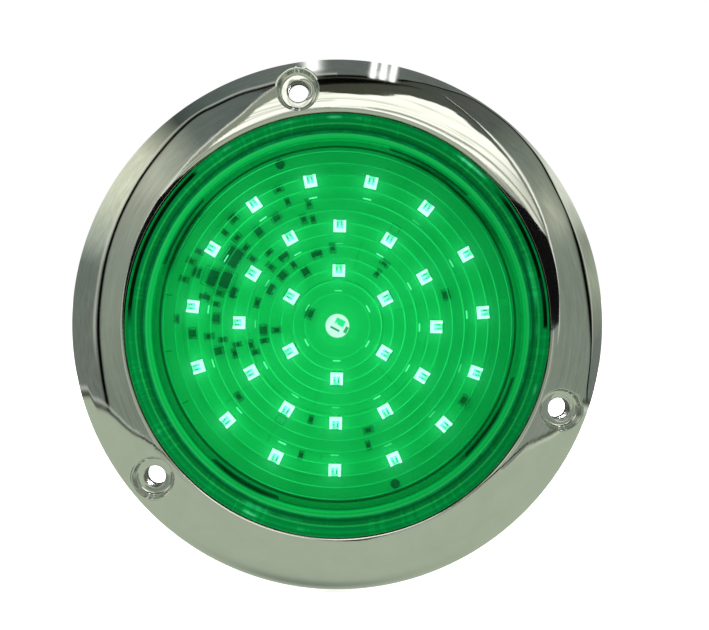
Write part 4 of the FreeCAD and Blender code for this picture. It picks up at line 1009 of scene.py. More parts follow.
class Heap:
    """Collects many small solids into one mesh, placed on the board by clock angle."""

    def __init__(self, name, mats):
        self.name, self.mats = name, mats
        self.v, self.f, self.m = [], [], []

    def frame(self, clock, r, swap=False):
        a = math.radians(clock + TURN)
        out = (math.sin(a), math.cos(a))
        along = (math.cos(a), -math.sin(a))
        c = (r * out[0], r * out[1])
        return (c, out, along) if swap else (c, along, out)

    def prism(self, fr, outline_low, outline_high, low, high, mat=0, cap_low=True):
        """outline points are (u, w) in the piece's own frame, in mm."""
        c, U, W = fr
        base = len(self.v)
        n = len(outline_low)
        for pts, l in ((outline_low, low), (outline_high, high)):
            for u, w in pts:
                self.v.append(((c[0] + u * U[0] + w * W[0]) * MM, -l * MM, (c[1] + u * U[1] + w * W[1]) * MM))
        for i in range(n):
            j = (i + 1) % n
            self.f.append((base + i, base + j, base + n + j, base + n + i))
            self.m.append(mat)
        self.f.append(tuple(range(base + n, base + 2 * n)))
        self.m.append(mat)
        if cap_low:
            self.f.append(tuple(range(base + n - 1, base - 1, -1)))
            self.m.append(mat)

    def box(self, fr, u0, u1, w0, w1, low, high, mat=0, bevel=0.0):
        def rect(d):
            return [(u0 + d, w0 + d), (u1 - d, w0 + d), (u1 - d, w1 - d), (u0 + d, w1 - d)]
        if bevel > 0:
            self.prism(fr, rect(0), rect(0), low, high - bevel, mat)
            self.v_top(fr, rect(0), rect(bevel), high - bevel, high, mat)
        else:
            self.prism(fr, rect(0), rect(0), low, high, mat)

    def v_top(self, fr, low_pts, high_pts, low, high, mat):
        """Replaces the last prism's top by a chamfered one."""
        self.f.pop(-2)
        self.m.pop(-2)
        base = len(self.v) - len(low_pts)
        c, U, W = fr
        n = len(low_pts)
        top = len(self.v)
        for u, w in high_pts:
            self.v.append(((c[0] + u * U[0] + w * W[0]) * MM, -high * MM, (c[1] + u * U[1] + w * W[1]) * MM))
        for i in range(n):
            j = (i + 1) % n
            self.f.append((base + i, base + j, top + j, top + i))
            self.m.append(mat)
        self.f.append(tuple(range(top, top + n)))
        self.m.append(mat)

    def disc(self, fr, r, low, high, mat=0, seg=20, r_top=None):
        r_top = r if r_top is None else r_top
        lo = [(r * math.cos(2 * math.pi * i / seg), r * math.sin(2 * math.pi * i / seg)) for i in range(seg)]
        hi = [(r_top * math.cos(2 * math.pi * i / seg), r_top * math.sin(2 * math.pi * i / seg)) for i in range(seg)]
        self.prism(fr, lo, hi, low, high, mat)

    def done(self, body, slot, *nodes, smooth=None):
        me = bpy.data.meshes.new(self.name)
        me.from_pydata(self.v, [], self.f)
        me.polygons.foreach_set("material_index", self.m)
        recalc(me)
        if smooth:
            sharpen(me, smooth)
        o = new_object(self.name, me, self.mats)
        return place(o, body, slot, *nodes)


LED_FRAME = lit("led_frame_lit", (18.0, 1.75, 3.9), 1.0, (0.10, 1.0, 0.55), 2.6)
LED_FLOOR = lit("led_floor_lit", (4.2, 1.25, 2.2), 1.0, (0.10, 1.0, 0.55), 1.2)
LED_DIE = lit("led_die_lit", (11.0, 1.6, 3.4), 1.0, (0.10, 1.0, 0.55), 2.6)
LED_BODY = mat_plastic("led_package_plastic", (0.80, 0.83, 0.80), (0.88, 0.90, 0.88), rough=(0.3, 0.45), bump=0.05)
TIN = mat_metal("tinned_copper", (0.66, 0.67, 0.66), (0.78, 0.79, 0.78))
CHIP = mat_plastic("chip_body", (0.012, 0.013, 0.012), (0.022, 0.022, 0.020), rough=(0.35, 0.5), bump=0.08)
CHIP_TAN = mat_plastic("chip_ceramic", (0.045, 0.035, 0.024), (0.07, 0.055, 0.04), rough=(0.35, 0.5), bump=0.06)
DARKGAP = mat_plastic("led_gap", (0.10, 0.22, 0.18), (0.14, 0.28, 0.24), bump=0.03)
TRACE = mat_plastic("board_trace", (0.50, 0.58, 0.50), (0.58, 0.66, 0.58), rough=(0.3, 0.4), bump=0.04)

led_places = [(0.0, 0.0)]
for r, cnt in ((14.65, 6), (26.65, 12), (39.4, 15)):
    led_places += [(180.0 + 360.0 * i / cnt, r) for i in range(cnt)]
pk = Heap("led_package_bodies", [LED_BODY, TIN])
wi = Heap("led_light_windows", [LED_FRAME, LED_FLOOR, LED_DIE, DARKGAP])
pa = Heap("led_pads", [TIN])
for clock, r in led_places:
    fr = pk.frame(clock, r)          # u along the circle, w outwards
    # moulded body
    pk.box(fr, -1.7, 1.7, -1.7, 1.7, -4.93, -3.85, 0, 0.0)
    # terminals wrapped round both ends
    for s in (-1, 1):
        a0, a1 = sorted((s * 1.7, s * 1.82))
        for u in (-0.75, 0.75):
            pk.box(fr, u - 0.45, u + 0.45, a0, a1, -4.93, -4.3, 1, 0.0)
    # lit walls of the cup on three sides: two prongs and the inward bar
    wi.box(fr, -1.68, -0.92, -1.68, 1.62, -3.85, -3.12, 0, 0.12)
    wi.box(fr, 0.96, 1.68, -1.68, 1.55, -3.85, -3.12, 0, 0.12)
    wi.box(fr, -0.92, 0.96, -1.68, -0.70, -3.85, -3.12, 0, 0.12)
    # floor of the cup, two dark gaps and the bright die strip between them
    wi.box(fr, -0.92, 0.96, -0.70, 1.52, -3.85, -3.62, 1, 0.0)
    wi.box(fr, -0.22, 0.18, -0.70, 0.72, -3.62, -3.34, 2, 0.06)
    wi.box(fr, -0.72, -0.36, -0.10, 1.12, -3.62, -3.55, 3, 0.0)
    wi.box(fr, 0.32, 0.74, 0.22, 0.62, -3.62, -3.55, 3, 0.0)
    wi.box(fr, 0.30, 0.56, 0.72, 1.25, -3.62, -3.55, 3, 0.0)
    for s in (-1, 1):
        w0, w1 = sorted((s * 0.9, s * 2.05))
        pa.box(fr, -1.3, 1.3, w0, w1, -5.0, -4.93, 0, 0.0)
pk.done("lamp", "led_body", "led_packages")
wi.done("lamp", "led_window", "led_windows")

RES = [(335.1, 39.9, "c"), (336.6, 35.9, "r"), (345.4, 33.6, "r"), (345.6, 29.3, "r"), (340.9, 29.9, "r"), (308.0, 39.4, "r"),
       (309.6, 36.0, "c"), (308.6, 32.4, "c"), (306.4, 29.1, "r"), (315.2, 27.0, "c"), (309.6, 24.0, "r"), (322.4, 20.2, "r"),
       (292.3, 43.2, "r"), (296.6, 42.3, "r"), (285.3, 43.4, "r"), (270.9, 43.6, "c"), (283.6, 33.2, "r"), (278.4, 33.4, "r"),
       (263.6, 34.9, "r"), (261.4, 31.4, "r"), (253.2, 28.9, "c"), (257.6, 27.8, "r"), (255.6, 24.2, "c"), (250.2, 23.6, "r"),
       (263.6, 16.6, "r"), (256.4, 20.4, "r"), (284.0, 22.6, "c"), (194.6, 36.8, "r"), (232.7, 33.2, "c"), (164.6, 33.8, "r"),
       (162.6, 29.8, "c"), (194.6, 26.8, "r"), (36.0, 20.9, "c"), (36.5, 17.6, "r"), (355.0, 20.8, "r")]
CAP = [(329.0, 33.4, "c"), (314.4, 40.2, "c"), (318.5, 33.0, "r"), (310.6, 20.0, "c"), (327.6, 16.8, "r"), (289.3, 40.6, "c"),
       (271.8, 32.9, "c"), (265.4, 39.4, "c"), (256.3, 33.0, "r"), (264.6, 20.2, "c"), (290.6, 8.2, "c"), (119.8, 40.0, "c"), (73.4, 30.4, "c")]
DIO = [(289.4, 36.2, "c"), (290.6, 32.6, "c")]
TRA = [(342.3, 20.0, "c"), (320.4, 23.6, "c"), (285.8, 29.6, "c"), (296.6, 20.6, "c"), (280.6, 36.8, "r")]
REG = [(301.8, 33.6, "c")]


def chip_pads(h, fr, half_l, half_w):
    for s in (-1, 1):
        u0, u1 = sorted((s * (half_l - 0.45), s * (half_l + 0.32)))
        h.box(fr, u0, u1, -half_w - 0.12, half_w + 0.12, -5.0, -4.965, 0, 0.0)


h = Heap("resistor_chips", [CHIP, TIN])
for i, (c, r, way) in enumerate(RES):
    fr = h.frame(c, r, way == "r")
    for s in (-1, 1):
        u0, u1 = sorted((s * 0.64, s * 1.0))
        h.box(fr, u0, u1, -0.625, 0.625, -4.99, -4.47, 1, 0.05)
    h.box(fr, -0.66, 0.66, -0.60, 0.60, -4.98, -4.46, 0, 0.04)
    chip_pads(pa, fr, 1.0, 0.62)
h.done("lamp", "chip_dark", "chip_resistors")
h = Heap("capacitor_chips", [CHIP_TAN, TIN])
for c, r, way in CAP:
    fr = h.frame(c, r, way == "r")
    for s in (-1, 1):
        u0, u1 = sorted((s * 0.9, s * 1.25))
        h.box(fr, u0, u1, -1.0, 1.0, -4.99, -3.74, 1, 0.08)
    h.box(fr, -0.92, 0.92, -0.97, 0.97, -4.97, -3.76, 0, 0.06)
    chip_pads(pa, fr, 1.25, 1.0)
h.done("lamp", "chip_tan", "chip_capacitors")
h = Heap("diode_blocks", [CHIP, TIN])
for c, r, way in DIO:
    fr = h.frame(c, r, way == "r")
    h.box(fr, -2.05, 2.05, -1.3, 1.3, -4.8, -2.92, 0, 0.22)
    for s in (-1, 1):
        u0, u1 = sorted((s * 1.5, s * 2.15))
        h.box(fr, u0, u1, -0.75, 0.75, -4.99, -4.6, 1, 0.05)
    chip_pads(pa, fr, 2.15, 0.8)
h.done("lamp", "chip_dark", "rectifier_diodes")
h = Heap("transistor_chips", [CHIP, TIN])
for c, r, way in TRA:
    fr = h.frame(c, r, way == "r")
    h.box(fr, -1.45, 1.45, -0.65, 0.65, -4.9, -4.02, 0, 0.10)
    for u, s in ((-0.95, -1), (0.95, -1), (0.0, 1)):
        w0, w1 = sorted((s * 0.6, s * 1.05))
        h.box(fr, u - 0.2, u + 0.2, w0, w1, -4.99, -4.72, 1, 0.03)
        w0, w1 = sorted((s * 0.75, s * 1.3))
        pa.box(fr, u - 0.32, u + 0.32, w0, w1, -5.0, -4.965, 0, 0.0)
h.done("lamp", "chip_dark", "driver_transistors")
h = Heap("regulator_chip", [CHIP, TIN])
for c, r, way in REG:
    fr = h.frame(c, r, way == "r")
    h.box(fr, -2.4, 2.4, -1.9, 1.9, -4.85, -3.52, 0, 0.18)
    for i in range(4):
        for s in (-1, 1):
            w0, w1 = sorted((s * 1.85, s * 2.35))
            h.box(fr, -1.905 + 1.27 * i - 0.2, -1.905 + 1.27 * i + 0.2, w0, w1, -4.99, -4.6, 1, 0.03)
h.done("lamp", "chip_dark", "regulator_ic")
pa.done("lamp", "solder", "led_solder_pads")

# thin printed tracks that join the LEDs in rings and run to the chips
tr = Heap("board_tracks", [TRACE])


def track_arc(r, a0, a1, w=0.5):
    steps = max(3, int(abs(a1 - a0) / 3))
    for i in range(steps):
        b0, b1 = a0 + (a1 - a0) * i / steps, a0 + (a1 - a0) * (i + 1) / steps
        p = [clock_xy(rr, bb + TURN) for rr, bb in ((r - w / 2, b0), (r + w / 2, b0), (r + w / 2, b1), (r - w / 2, b1))]
        tr.prism(((0, 0), (1, 0), (0, 1)), p, p, -5.0, -4.975)


def track_line(a, r0, r1, w=0.45):
    fr = tr.frame(a, 0.0)
    tr.prism(fr, [(-w / 2, r0), (w / 2, r0), (w / 2, r1), (-w / 2, r1)], [(-w / 2, r0), (w / 2, r0), (w / 2, r1), (-w / 2, r1)], -5.0, -4.975)


for i in range(15):
    a = 180 + 24 * i
    track_arc(41.9, a + 2.2, a + 21.8)
for i in range(12):
    a = 180 + 30 * i
    track_arc(24.3, a + 3.0, a + 27.0)
for i in range(6):
    a = 180 + 60 * i
    track_arc(12.2, a + 6, a + 54, 0.4)
for a in (12, 60, 84, 108, 132, 180, 204, 228):
    track_line(a + 6, 28.5, 37.0)
for a in (15, 75, 135, 195):
    track_line(a, 16.0, 23.4)
MARK = mat_plastic("board_ink", (0.10, 0.22, 0.12), (0.14, 0.28, 0.16), rough=(0.5, 0.6), bump=0.04)
tr.mats = [TRACE, MARK]


def outline(c, r, hu, hw, line=0.16, swap=False):
    """A printed box round a part: four thin bars."""
    fr = tr.frame(c, r, swap)
    for u0, u1, w0, w1 in ((-hu, hu, -hw, -hw + line), (-hu, hu, hw - line, hw), (-hu, -hu + line, -hw + line, hw - line), (hu - line, hu, -hw + line, hw - line)):
        tr.box(fr, u0, u1, w0, w1, -5.0, -4.97, 1, 0.0)


for c, r in ((31.0, 30.2), (211.0, 30.2)):
    outline(c - 1.2, r, 1.3, 1.1)
for i, (c, r, way) in enumerate(RES):
    if i % 2 == 0:
        outline(c, r, 1.5, 0.95, 0.12, way == "r")
for c, r, way in REG + DIO:
    outline(c, r, 2.75, 2.65, 0.14, way == "r")
for c in (243.0, 261.0, 280.0):
    fr = tr.frame(c - 1.2, 46.4)
    tr.box(fr, -0.14, 0.14, -0.9, 0.9, -5.0, -4.97, 1, 0.0)
fr = tr.frame(82.3 - 1.2, 45.4)
tr.box(fr, -1.0, 1.0, -1.4, 1.3, -5.0, -4.96, 0, 0.0)
o = tr.done("lamp", "board_white")

# ============================================================ carried-over CAD nodes
RING = mat_retainer()
SEAL = mat_rubber("seal_rubber", (0.010, 0.014, 0.011))
PLUG = mat_rubber("plug_rubber", (0.012, 0.012, 0.013))
RESIN = mat_plastic("potting_resin", (0.008, 0.008, 0.009), (0.014, 0.014, 0.015), rough=(0.15, 0.3), grain=500.0, bump=0.05)
BRASS = mat_metal("pin_brass", (0.72, 0.50, 0.20), (0.86, 0.66, 0.32))
COPPER = mat_metal("strand_copper", (0.80, 0.40, 0.24), (0.90, 0.52, 0.34), scale=900.0)
for node, m in (("board_retainer", RING), ("lens_seal", SEAL), ("potting_compound", RESIN), ("terminal_pins", BRASS), ("pin_solder", TIN),
                ("plug_contacts", BRASS), ("plug_seal", SEAL)):
    ob = NODES[node]
    ob.data.materials.clear()
    ob.data.materials.append(m)

# ============================================================ plug
rings = []


def ring(level, hw, ht, c):
    rings.append((level, rounded_loop(hw, ht, c, SZ)))


ring(-9.6, 14.65, 5.65, 3.15)
ring(-10.2, 15.25, 6.25, 3.75)
ring(-18.8, 15.25, 6.25, 3.75)
ring(-18.8, 18.1, 8.8, 5.6)
ring(-19.2, 18.5, 9.2, 6.0)
ring(-22.2, 18.5, 9.2, 6.0)
ring(-22.6, 18.1, 8.8, 5.7)
span = -36.0 + 22.6
for i in range(4):
    lvl = -22.6 - 2.2 - 2.4 * i
    f0 = (lvl + 22.6 + 0.1) / span
    base_w, base_t, base_c = 16.9 - 2.9 * f0, 7.6 - 2.2 * f0, 5.0 - 0.4 * f0
    sh = 1.1 + 0.85 * i
    rw, rt, rc = 18.5 - sh, 9.2 - sh * 0.8, 6.0 - sh * 0.35
    if i == 0:
        ring(-22.65, 16.9, 7.6, 5.0)
    ring(lvl + 0.15, base_w, base_t, base_c)
    ring(lvl, rw - 0.25, rt - 0.25, rc - 0.15)
    ring(lvl - 0.25, rw, rt, rc)
    ring(lvl - 0.75, rw, rt, rc)
    ring(lvl - 1.0, rw - 0.25, rt - 0.25, rc - 0.15)
    f1 = (lvl - 1.15 + 22.6) / span
    ring(lvl - 1.15, 16.9 - 2.9 * f1, 7.6 - 2.2 * f1, 5.0 - 0.4 * f1)
ring(-35.3, 14.1, 5.5, 4.6)
ring(-36.0, 13.4, 4.8, 4.2)
pl = new_object("plug_body", loft_mesh("plug_body", rings), [PLUG])
ops = []
for k in (-1, 0, 1):
    t = prof((0, -9.0), (2.9, -9.0), (2.72, -9.9), (2.72, -17.4), (1.6, -17.4), (1.6, -25.0), (1.5, -25.0), (1.5, -35.4), (1.9, -36.6), (0, -36.6))
    ops.append((new_object("tool_pb%d" % k, lathe_mesh("tool_pb", t, 48, centre=(8.7 * k, SZ)), [PLUG]), "DIFFERENCE"))
me = carve(pl, ops)
turned(me, TURN)
sharpen(me, 30.0)
place(pl, "plug", "plug_black", "plug_shell")

# ============================================================ wires
VINYL_W = mat_plastic("vinyl_white", (0.62, 0.62, 0.58), (0.74, 0.73, 0.69), rough=(0.26, 0.4), grain=900.0, bump=0.06, wear=0.0, coat=0.3)
VINYL_K = mat_plastic("vinyl_black", (0.010, 0.010, 0.011), (0.018, 0.018, 0.019), rough=(0.26, 0.4), grain=900.0, bump=0.06, coat=0.3)
VINYL_R = mat_plastic("vinyl_red", (0.42, 0.018, 0.012), (0.52, 0.030, 0.020), rough=(0.26, 0.4), grain=900.0, bump=0.06, coat=0.3)


def wire_line(y0, tail_run, step=0.8):
    """Points (y, z) and tangents of the double bend, from y0 to its end."""
    out = []
    y1, R, bend = 40.0, 46.0, math.radians(24.0)
    y = y0
    while y < y1:
        out.append((y, 0.0, 0.0))
        y += step
    k = 36
    for i in range(k + 1):
        a = bend * i / k
        out.append((y1 + R * math.sin(a), -R * (1 - math.cos(a)), -a))
    y2, z2 = out[-1][:2]
    for i in range(1, k + 1):
        a = bend * (1 - i / k)
        out.append((y2 + R * (math.sin(bend) - math.sin(a)), z2 - R * (math.cos(a) - math.cos(bend)), -a))
    y3, z3 = out[-1][:2]
    nst = max(2, int(tail_run / step))
    for i in range(1, nst + 1):
        out.append((y3 + tail_run * i / nst, z3, 0.0))
    return out


def tube(name, line, radius, sides, mats, k, roll, wobble=0.0, offset=(0.0, 0.0), twist=0.0):
    verts, faces = [], []
    n = len(line)
    s = 0.0
    for i, (y, z, a) in enumerate(line):
        if i:
            s += math.hypot(y - line[i - 1][0], z - line[i - 1][1])
        up = (-math.sin(a), math.cos(a))
        ph = twist * s
        ox = offset[0] * math.cos(ph) - offset[1] * math.sin(ph)
        oz = offset[0] * math.sin(ph) + offset[1] * math.cos(ph)
        rr = radius
        if i == 0 or i == n - 1:
            rr = radius * 0.86
        for j in range(sides):
            t = 2 * math.pi * j / sides
            u, w = ox + rr * math.cos(t), oz + rr * math.sin(t)
            verts.append((u * MM, (y + w * up[0]) * MM, (z + w * up[1]) * MM))
    for i in range(n - 1):
        for j in range(sides):
            j2 = (j + 1) % sides
            faces.append((i * sides + j, i * sides + j2, (i + 1) * sides + j2, (i + 1) * sides + j))
    faces.append(tuple(range(sides)))
    faces.append(tuple(range((n - 1) * sides, n * sides)))
    return verts, faces


def at_pin(mesh, k, roll):
    rot = Matrix.Rotation(math.radians(TURN), 4, "Y")
    here = rot @ Vector((8.7 * k * MM, 0, SZ * MM))
    mesh.transform(Matrix.Translation(here) @ Matrix.Rotation(math.radians(TURN + roll), 4, "Y"))


def end_rounded(line, r):
    """Adds a short run at each end so that a tube's ends can be rounded."""
    a, b = line[0], line[-1]
    return [(a[0] - 0.0, a[1], a[2])] + [(a[0] + 0.18, a[1], a[2])] + line[1:-1] + [(b[0] - 0.18, b[1], b[2]), b]


for who, k, roll, extra, vinyl, slot_name in (("ground", -1, 32.0, 0.0, VINYL_W, "wire_white"), ("tail", 0, 0.0, 5.0, VINYL_K, "wire_black"),
                                              ("stop", 1, -32.0, 2.5, VINYL_R, "wire_red")):
    line = end_rounded(wire_line(25.05, 16.0 + extra - 0.05), 1.5)
    v, f = tube("insulation_" + who, line, 1.5, 32, [vinyl], k, roll)
    me = bpy.data.meshes.new("insulation_" + who)
    me.from_pydata(v, [], f)
    recalc(me)
    at_pin(me, k, roll)
    sharpen(me, 40.0)
    place(new_object("insulation_" + who, me, [vinyl]), "plug", slot_name, "wire_" + who)
    # seven twisted strands
    line = wire_line(19.0, 16.0 + 7.0 + extra - 0.1, 0.5)
    V, F = [], []
    for sidx in range(7):
        off = (0.0, 0.0) if sidx == 6 else (0.515 * math.cos(sidx * math.pi / 3), 0.515 * math.sin(sidx * math.pi / 3))
        v, f = tube("s", line, 0.26, 10, [COPPER], k, roll, offset=off, twist=0.55)
        b = len(V)
        V += v
        F += [tuple(i + b for i in q) for q in f]
    me = bpy.data.meshes.new("strand_bundle_" + who)
    me.from_pydata(V, [], F)
    recalc(me)
    at_pin(me, k, roll)
    sharpen(me, 50.0)
    place(new_object("strand_bundle_" + who, me, [COPPER]), "plug", "copper", "strands_" + who)

# ============================================================ stage, light and camera
world = bpy.data.worlds.new("studio")
scene.world = world
world.use_nodes = True
n = N(world.node_tree)
sp = n.new("ShaderNodeSeparateXYZ")
n.put(sp.inputs[0], n.coords("Generated"))
dx, dy, dz = sp.outputs
GAM = 11.0
# the camera is near, so each spot of the flange is seen at its own slant; these
# two lines take that slant out of the ray's clock angle and tilt
ang = n.math("ARCTAN2", dx, dz)
tilt = n.math("ARCCOSINE", n.math("MULTIPLY", dy, -1.0))
ca, sa = n.math("COSINE", ang), n.math("SINE", ang)
off_r = n.math("ADD", n.math("MULTIPLY", sa, 2.9), n.math("MULTIPLY", ca, 9.0))
off_t = n.math("SUBTRACT", n.math("MULTIPLY", ca, 2.9), n.math("MULTIPLY", sa, 9.0))
reach = n.math("MINIMUM", n.math("ADD", 57.8, n.math("MULTIPLY", 11.0, n.math("SUBTRACT", tilt, 0.19))), 69.0)
slant = n.math("DIVIDE", n.math("SUBTRACT", reach, off_r), 309.0)
away = n.math("MAXIMUM", n.math("SINE", tilt), 0.05)
ang = n.math("ADD", ang, n.math("DIVIDE", n.math("DIVIDE", off_t, 309.0), away))
clock = n.math("FRACT", n.math("ADD", n.math("DIVIDE", ang, 2 * math.pi), 1.0))
beta = n.math("DIVIDE", n.math("ADD", n.math("SUBTRACT", tilt, slant), math.radians(GAM)), math.pi)


def D(deg):
    return deg / 360.0


def B(deg):
    return (deg + GAM) / 180.0


wob = n.noise(n.scaled(n.coords("Generated"), 1.0, 1.0, 1.0), 3.2, 3.0, 0.55)
wobs = n.math("MULTIPLY", n.math("SUBTRACT", wob, 0.5), 1.0)
low_in = n.curve(beta, [(0.0, D(156)), (B(-9.4), D(141)), (B(-5.7), D(131)), (B(0), D(123.5)), (B(8), D(120.5)), (B(15), D(118.5)), (B(25), D(116)), (B(35), D(113)), (B(50), D(109)), (B(62), D(107)), (1.0, D(107))])
low_out = n.curve(beta, [(0.0, D(216)), (B(-8), D(229)), (B(-5), D(235)), (B(0), D(239)), (B(10), D(243)), (B(20), D(247)), (B(30), D(250)), (B(45), D(252)), (B(60), D(254.5)), (1.0, D(255))])
m_low = n.math("MULTIPLY", n.step(clock, n.math("SUBTRACT", low_in, D(0.7)), n.math("ADD", low_in, D(0.7))),
               n.step(clock, n.math("ADD", low_out, D(0.7)), n.math("SUBTRACT", low_out, D(0.7))))
line_b = n.curve(clock, [(0.0, B(35.5)), (D(7.5), B(36.5)), (D(12), B(38.5)), (D(15), B(42)), (D(19.5), B(55)), (D(24.8), B(73)), (D(29), B(97)), (D(33), B(111)), (D(39), B(112)), (D(44), B(104)), (D(49.4), B(91)),
                         (D(55.6), B(66)), (D(61.8), B(50.5)), (D(68), B(44)), (D(74), B(41.5)), (D(80), B(40.5)), (D(86.6), B(41.5)), (D(93), B(45)), (D(99), B(52)), (D(105), B(70)), (D(109), B(95)),
                         (D(150), B(95)), (D(235), B(60)), (D(250), B(27)), (D(256), B(22.5)), (D(264), B(20)), (D(276), B(19.8)), (D(288), B(22.5)), (D(301), B(26.5)), (D(313), B(32)),
                         (D(322), B(37.5)), (D(327), B(39.5)), (D(331), B(37.5)), (D(338), B(36.5)), (D(344), B(34)), (D(352), B(34.5)), (1.0, B(35.5))])
thick = n.curve(clock, [(0.0, 0.0085), (D(10), 0.009), (D(18), 0.014), (D(28), 0.022), (D(36), 0.030), (D(44), 0.036), (D(52), 0.042), (D(60), 0.026), (D(70), 0.019), (D(85), 0.017), (D(100), 0.020), (D(108), 0.028),
                        (D(240), 0.014), (D(262), 0.014), (D(290), 0.012), (D(325), 0.010), (D(345), 0.009), (1.0, 0.0085)])
# the cream patch at the top starts at line_c; the seam line_w runs on from its peak
jag = n.math("MULTIPLY", n.math("SUBTRACT", n.noise(n.scaled(n.coords("Generated"), 1.0, 1.0, 1.0), 26.0, 3.0, 0.65), 0.5), 0.035)
line_c = n.curve(clock, [(0.0, B(11)), (D(4), B(10.5)), (D(8), B(12)), (D(11), B(14)), (D(15.5), B(21)), (D(21.5), B(25)), (D(27), B(27)), (D(31), B(25)), (D(35), B(21.5)), (D(40), B(21)), (D(45), B(19)), (D(51.5), B(14.5)),
                         (D(57.5), B(10.5)), (D(63.5), B(6)), (D(68), B(0.5)), (D(73), B(-8)), (D(90), B(-11)), (D(315), B(-11)), (D(327.5), B(-8)), (D(335), B(-2)), (D(338.8), B(5)), (D(342.5), B(11.5)),
                         (D(348), B(16)), (D(353), B(15)), (D(357), B(12)), (1.0, B(11))])
line_w = n.curve(clock, [(0.0, B(60)), (D(20), B(50)), (D(25.8), B(38.5)), (D(31), B(33)), (D(37), B(27.5)), (D(44), B(22.5)), (D(51.5), B(17)), (D(57.5), B(12.7)), (D(63.5), B(8.4)), (D(68), B(5)), (D(75), B(2)), (D(86), B(-1.8)), (D(95), B(-4)), (D(105), B(-7)), (D(130), B(-11)),
                         (D(280), B(-11)), (D(290), B(-9)), (D(303), B(-8)), (D(315), B(-6)), (D(317.5), B(-4.5)), (D(327.5), B(1)), (D(335), B(8.6)), (D(340), B(18)), (D(343.8), B(27)), (D(347), B(33)), (1.0, B(60))])
line_k = n.curve(clock, [(0.0, B(23.7)), (D(4), B(25)), (D(8), B(27.8)), (D(12), B(31)), (D(16), B(35)), (D(20), B(38.5)), (D(24), B(50)), (D(40), B(60)),
                         (D(325), B(60)), (D(335), B(44)), (D(341), B(33)), (D(347), B(26)), (D(353), B(22.5)), (1.0, B(23.7))])
line_u = n.curve(clock, [(0.0, B(32.5)), (D(7), B(33)), (D(12), B(34.3)), (D(16), B(36.5)), (D(20), B(38.2)), (D(24), B(38.5)), (D(325), B(33)), (D(341), B(31)), (D(353), B(31.5)), (1.0, B(32.5))])


def G(r, g, b, k=1.0):
    return tuple(v * k / 0.86 for v in lin(r, g, b))


hi = n.ramp(clock, [(D(0), G(96, 102, 98)), (D(24), G(96, 102, 98)), (D(40), G(120, 124, 116)), (D(54), G(212, 217, 203)), (D(60), G(206, 211, 196)), (D(66), G(172, 180, 164)),
                    (D(71), G(134, 142, 128)), (D(80), G(152, 160, 142)), (D(88), G(124, 132, 118)), (D(93), G(106, 113, 107)), (D(110), G(104, 110, 104)),
                    (D(250), G(106, 113, 106)), (D(284), G(104, 112, 104)), (D(290), G(160, 168, 156)), (D(300), G(206, 211, 190)), (D(311), G(206, 208, 186)), (D(317), G(140, 145, 130)),
                    (D(322), G(66, 74, 71)), (D(330), G(84, 94, 90)), (D(345), G(98, 105, 101)), (D(360), G(96, 102, 98))])
mid = n.ramp(clock, [(D(0), G(60, 62, 52)), (D(12), G(66, 68, 58)), (D(20), G(70, 74, 66)), (D(27), G(74, 79, 73)), (D(38), G(84, 90, 84)), (D(46), G(108, 116, 106)), (D(56), G(124, 132, 118)), (D(63), G(130, 138, 124)),
                     (D(76), G(120, 130, 118)), (D(104), G(120, 130, 118)), (D(112), G(128, 136, 124)),
                     (D(250), G(116, 126, 114)), (D(270), G(128, 138, 124)), (D(292), G(134, 142, 130)), (D(300), G(146, 152, 138)), (D(309), G(172, 176, 160)), (D(316), G(150, 156, 142)), (D(324), G(98, 106, 100)),
                     (D(340), G(86, 94, 90)), (D(350), G(60, 63, 54)), (D(360), G(60, 62, 52))])
tex = n.noise(n.scaled(n.coords("Generated"), 3.0, 3.0, 3.0), 3.4, 4.0, 0.62, distortion=1.2)
fine = n.noise(n.scaled(n.coords("Generated"), 14.0, 5.0, 14.0), 1.6, 3.0, 0.6)
mid = n.mix(n.math("MULTIPLY", n.math("MULTIPLY", n.gauss(clock, D(62), D(5.5)), n.gauss(beta, B(28), 0.075)), 0.8), mid, G(176, 180, 162))
shade = n.math("ADD", 0.56, n.math("MULTIPLY", n.math("ADD", n.math("MULTIPLY", tex, 0.72), n.math("MULTIPLY", fine, 0.28)), 0.92))
mid = n.mix(1.0, mid, n.new_vec(shade), "MULTIPLY")
hi = n.mix(1.0, hi, n.new_vec(n.math("ADD", 0.62, n.math("MULTIPLY", fine, 0.76))), "MULTIPLY")
streak = n.noise(n.scaled(n.coords("Generated"), 2.0, 9.0, 7.0), 1.0, 4.0, 0.6)
cream = n.mix(n.step(streak, 0.26, 0.42), G(196, 198, 180), G(254, 255, 242, 1.10))
cream = n.mix(n.math("MULTIPLY", n.step(clock, D(38), D(56)), n.math("MULTIPLY", n.step(clock, D(130), D(90)), n.step(streak, 0.62, 0.40, 0.25, 0.8))), cream, G(188, 192, 176))
fold = n.curve(clock, [(0.0, B(-7)), (D(6), B(-6)), (D(11), B(-4.5)), (D(26), B(-3.6)), (D(35), B(-1.5)), (D(43), B(1)), (D(52), B(3.2)), (D(60), B(4.6)), (D(68), B(5.5)), (D(90), B(5.5)), (D(320), B(-11)), (D(345), B(-9)), (1.0, B(-7))])
df = n.math("SUBTRACT", n.math("ADD", beta, n.math("MULTIPLY", jag, 0.35)), fold)
cream = n.mix(n.math("MULTIPLY", n.gauss(df, 0.0, 0.0085), n.step(clock, D(4), D(11), 0.0, 0.88)), cream, G(120, 124, 110))
cream = n.mix(n.math("MULTIPLY", n.gauss(df, 0.048, 0.006), n.step(clock, D(24), D(38), 0.0, 0.5)), cream, G(140, 142, 126))
cream = n.mix(n.step(beta, B(-7.8), B(-9.4)), cream, G(152, 159, 143))
cream = n.mix(n.step(df, -0.026, -0.036), cream, n.mix(n.step(streak, 0.40, 0.58), G(140, 146, 132), G(176, 180, 166)))
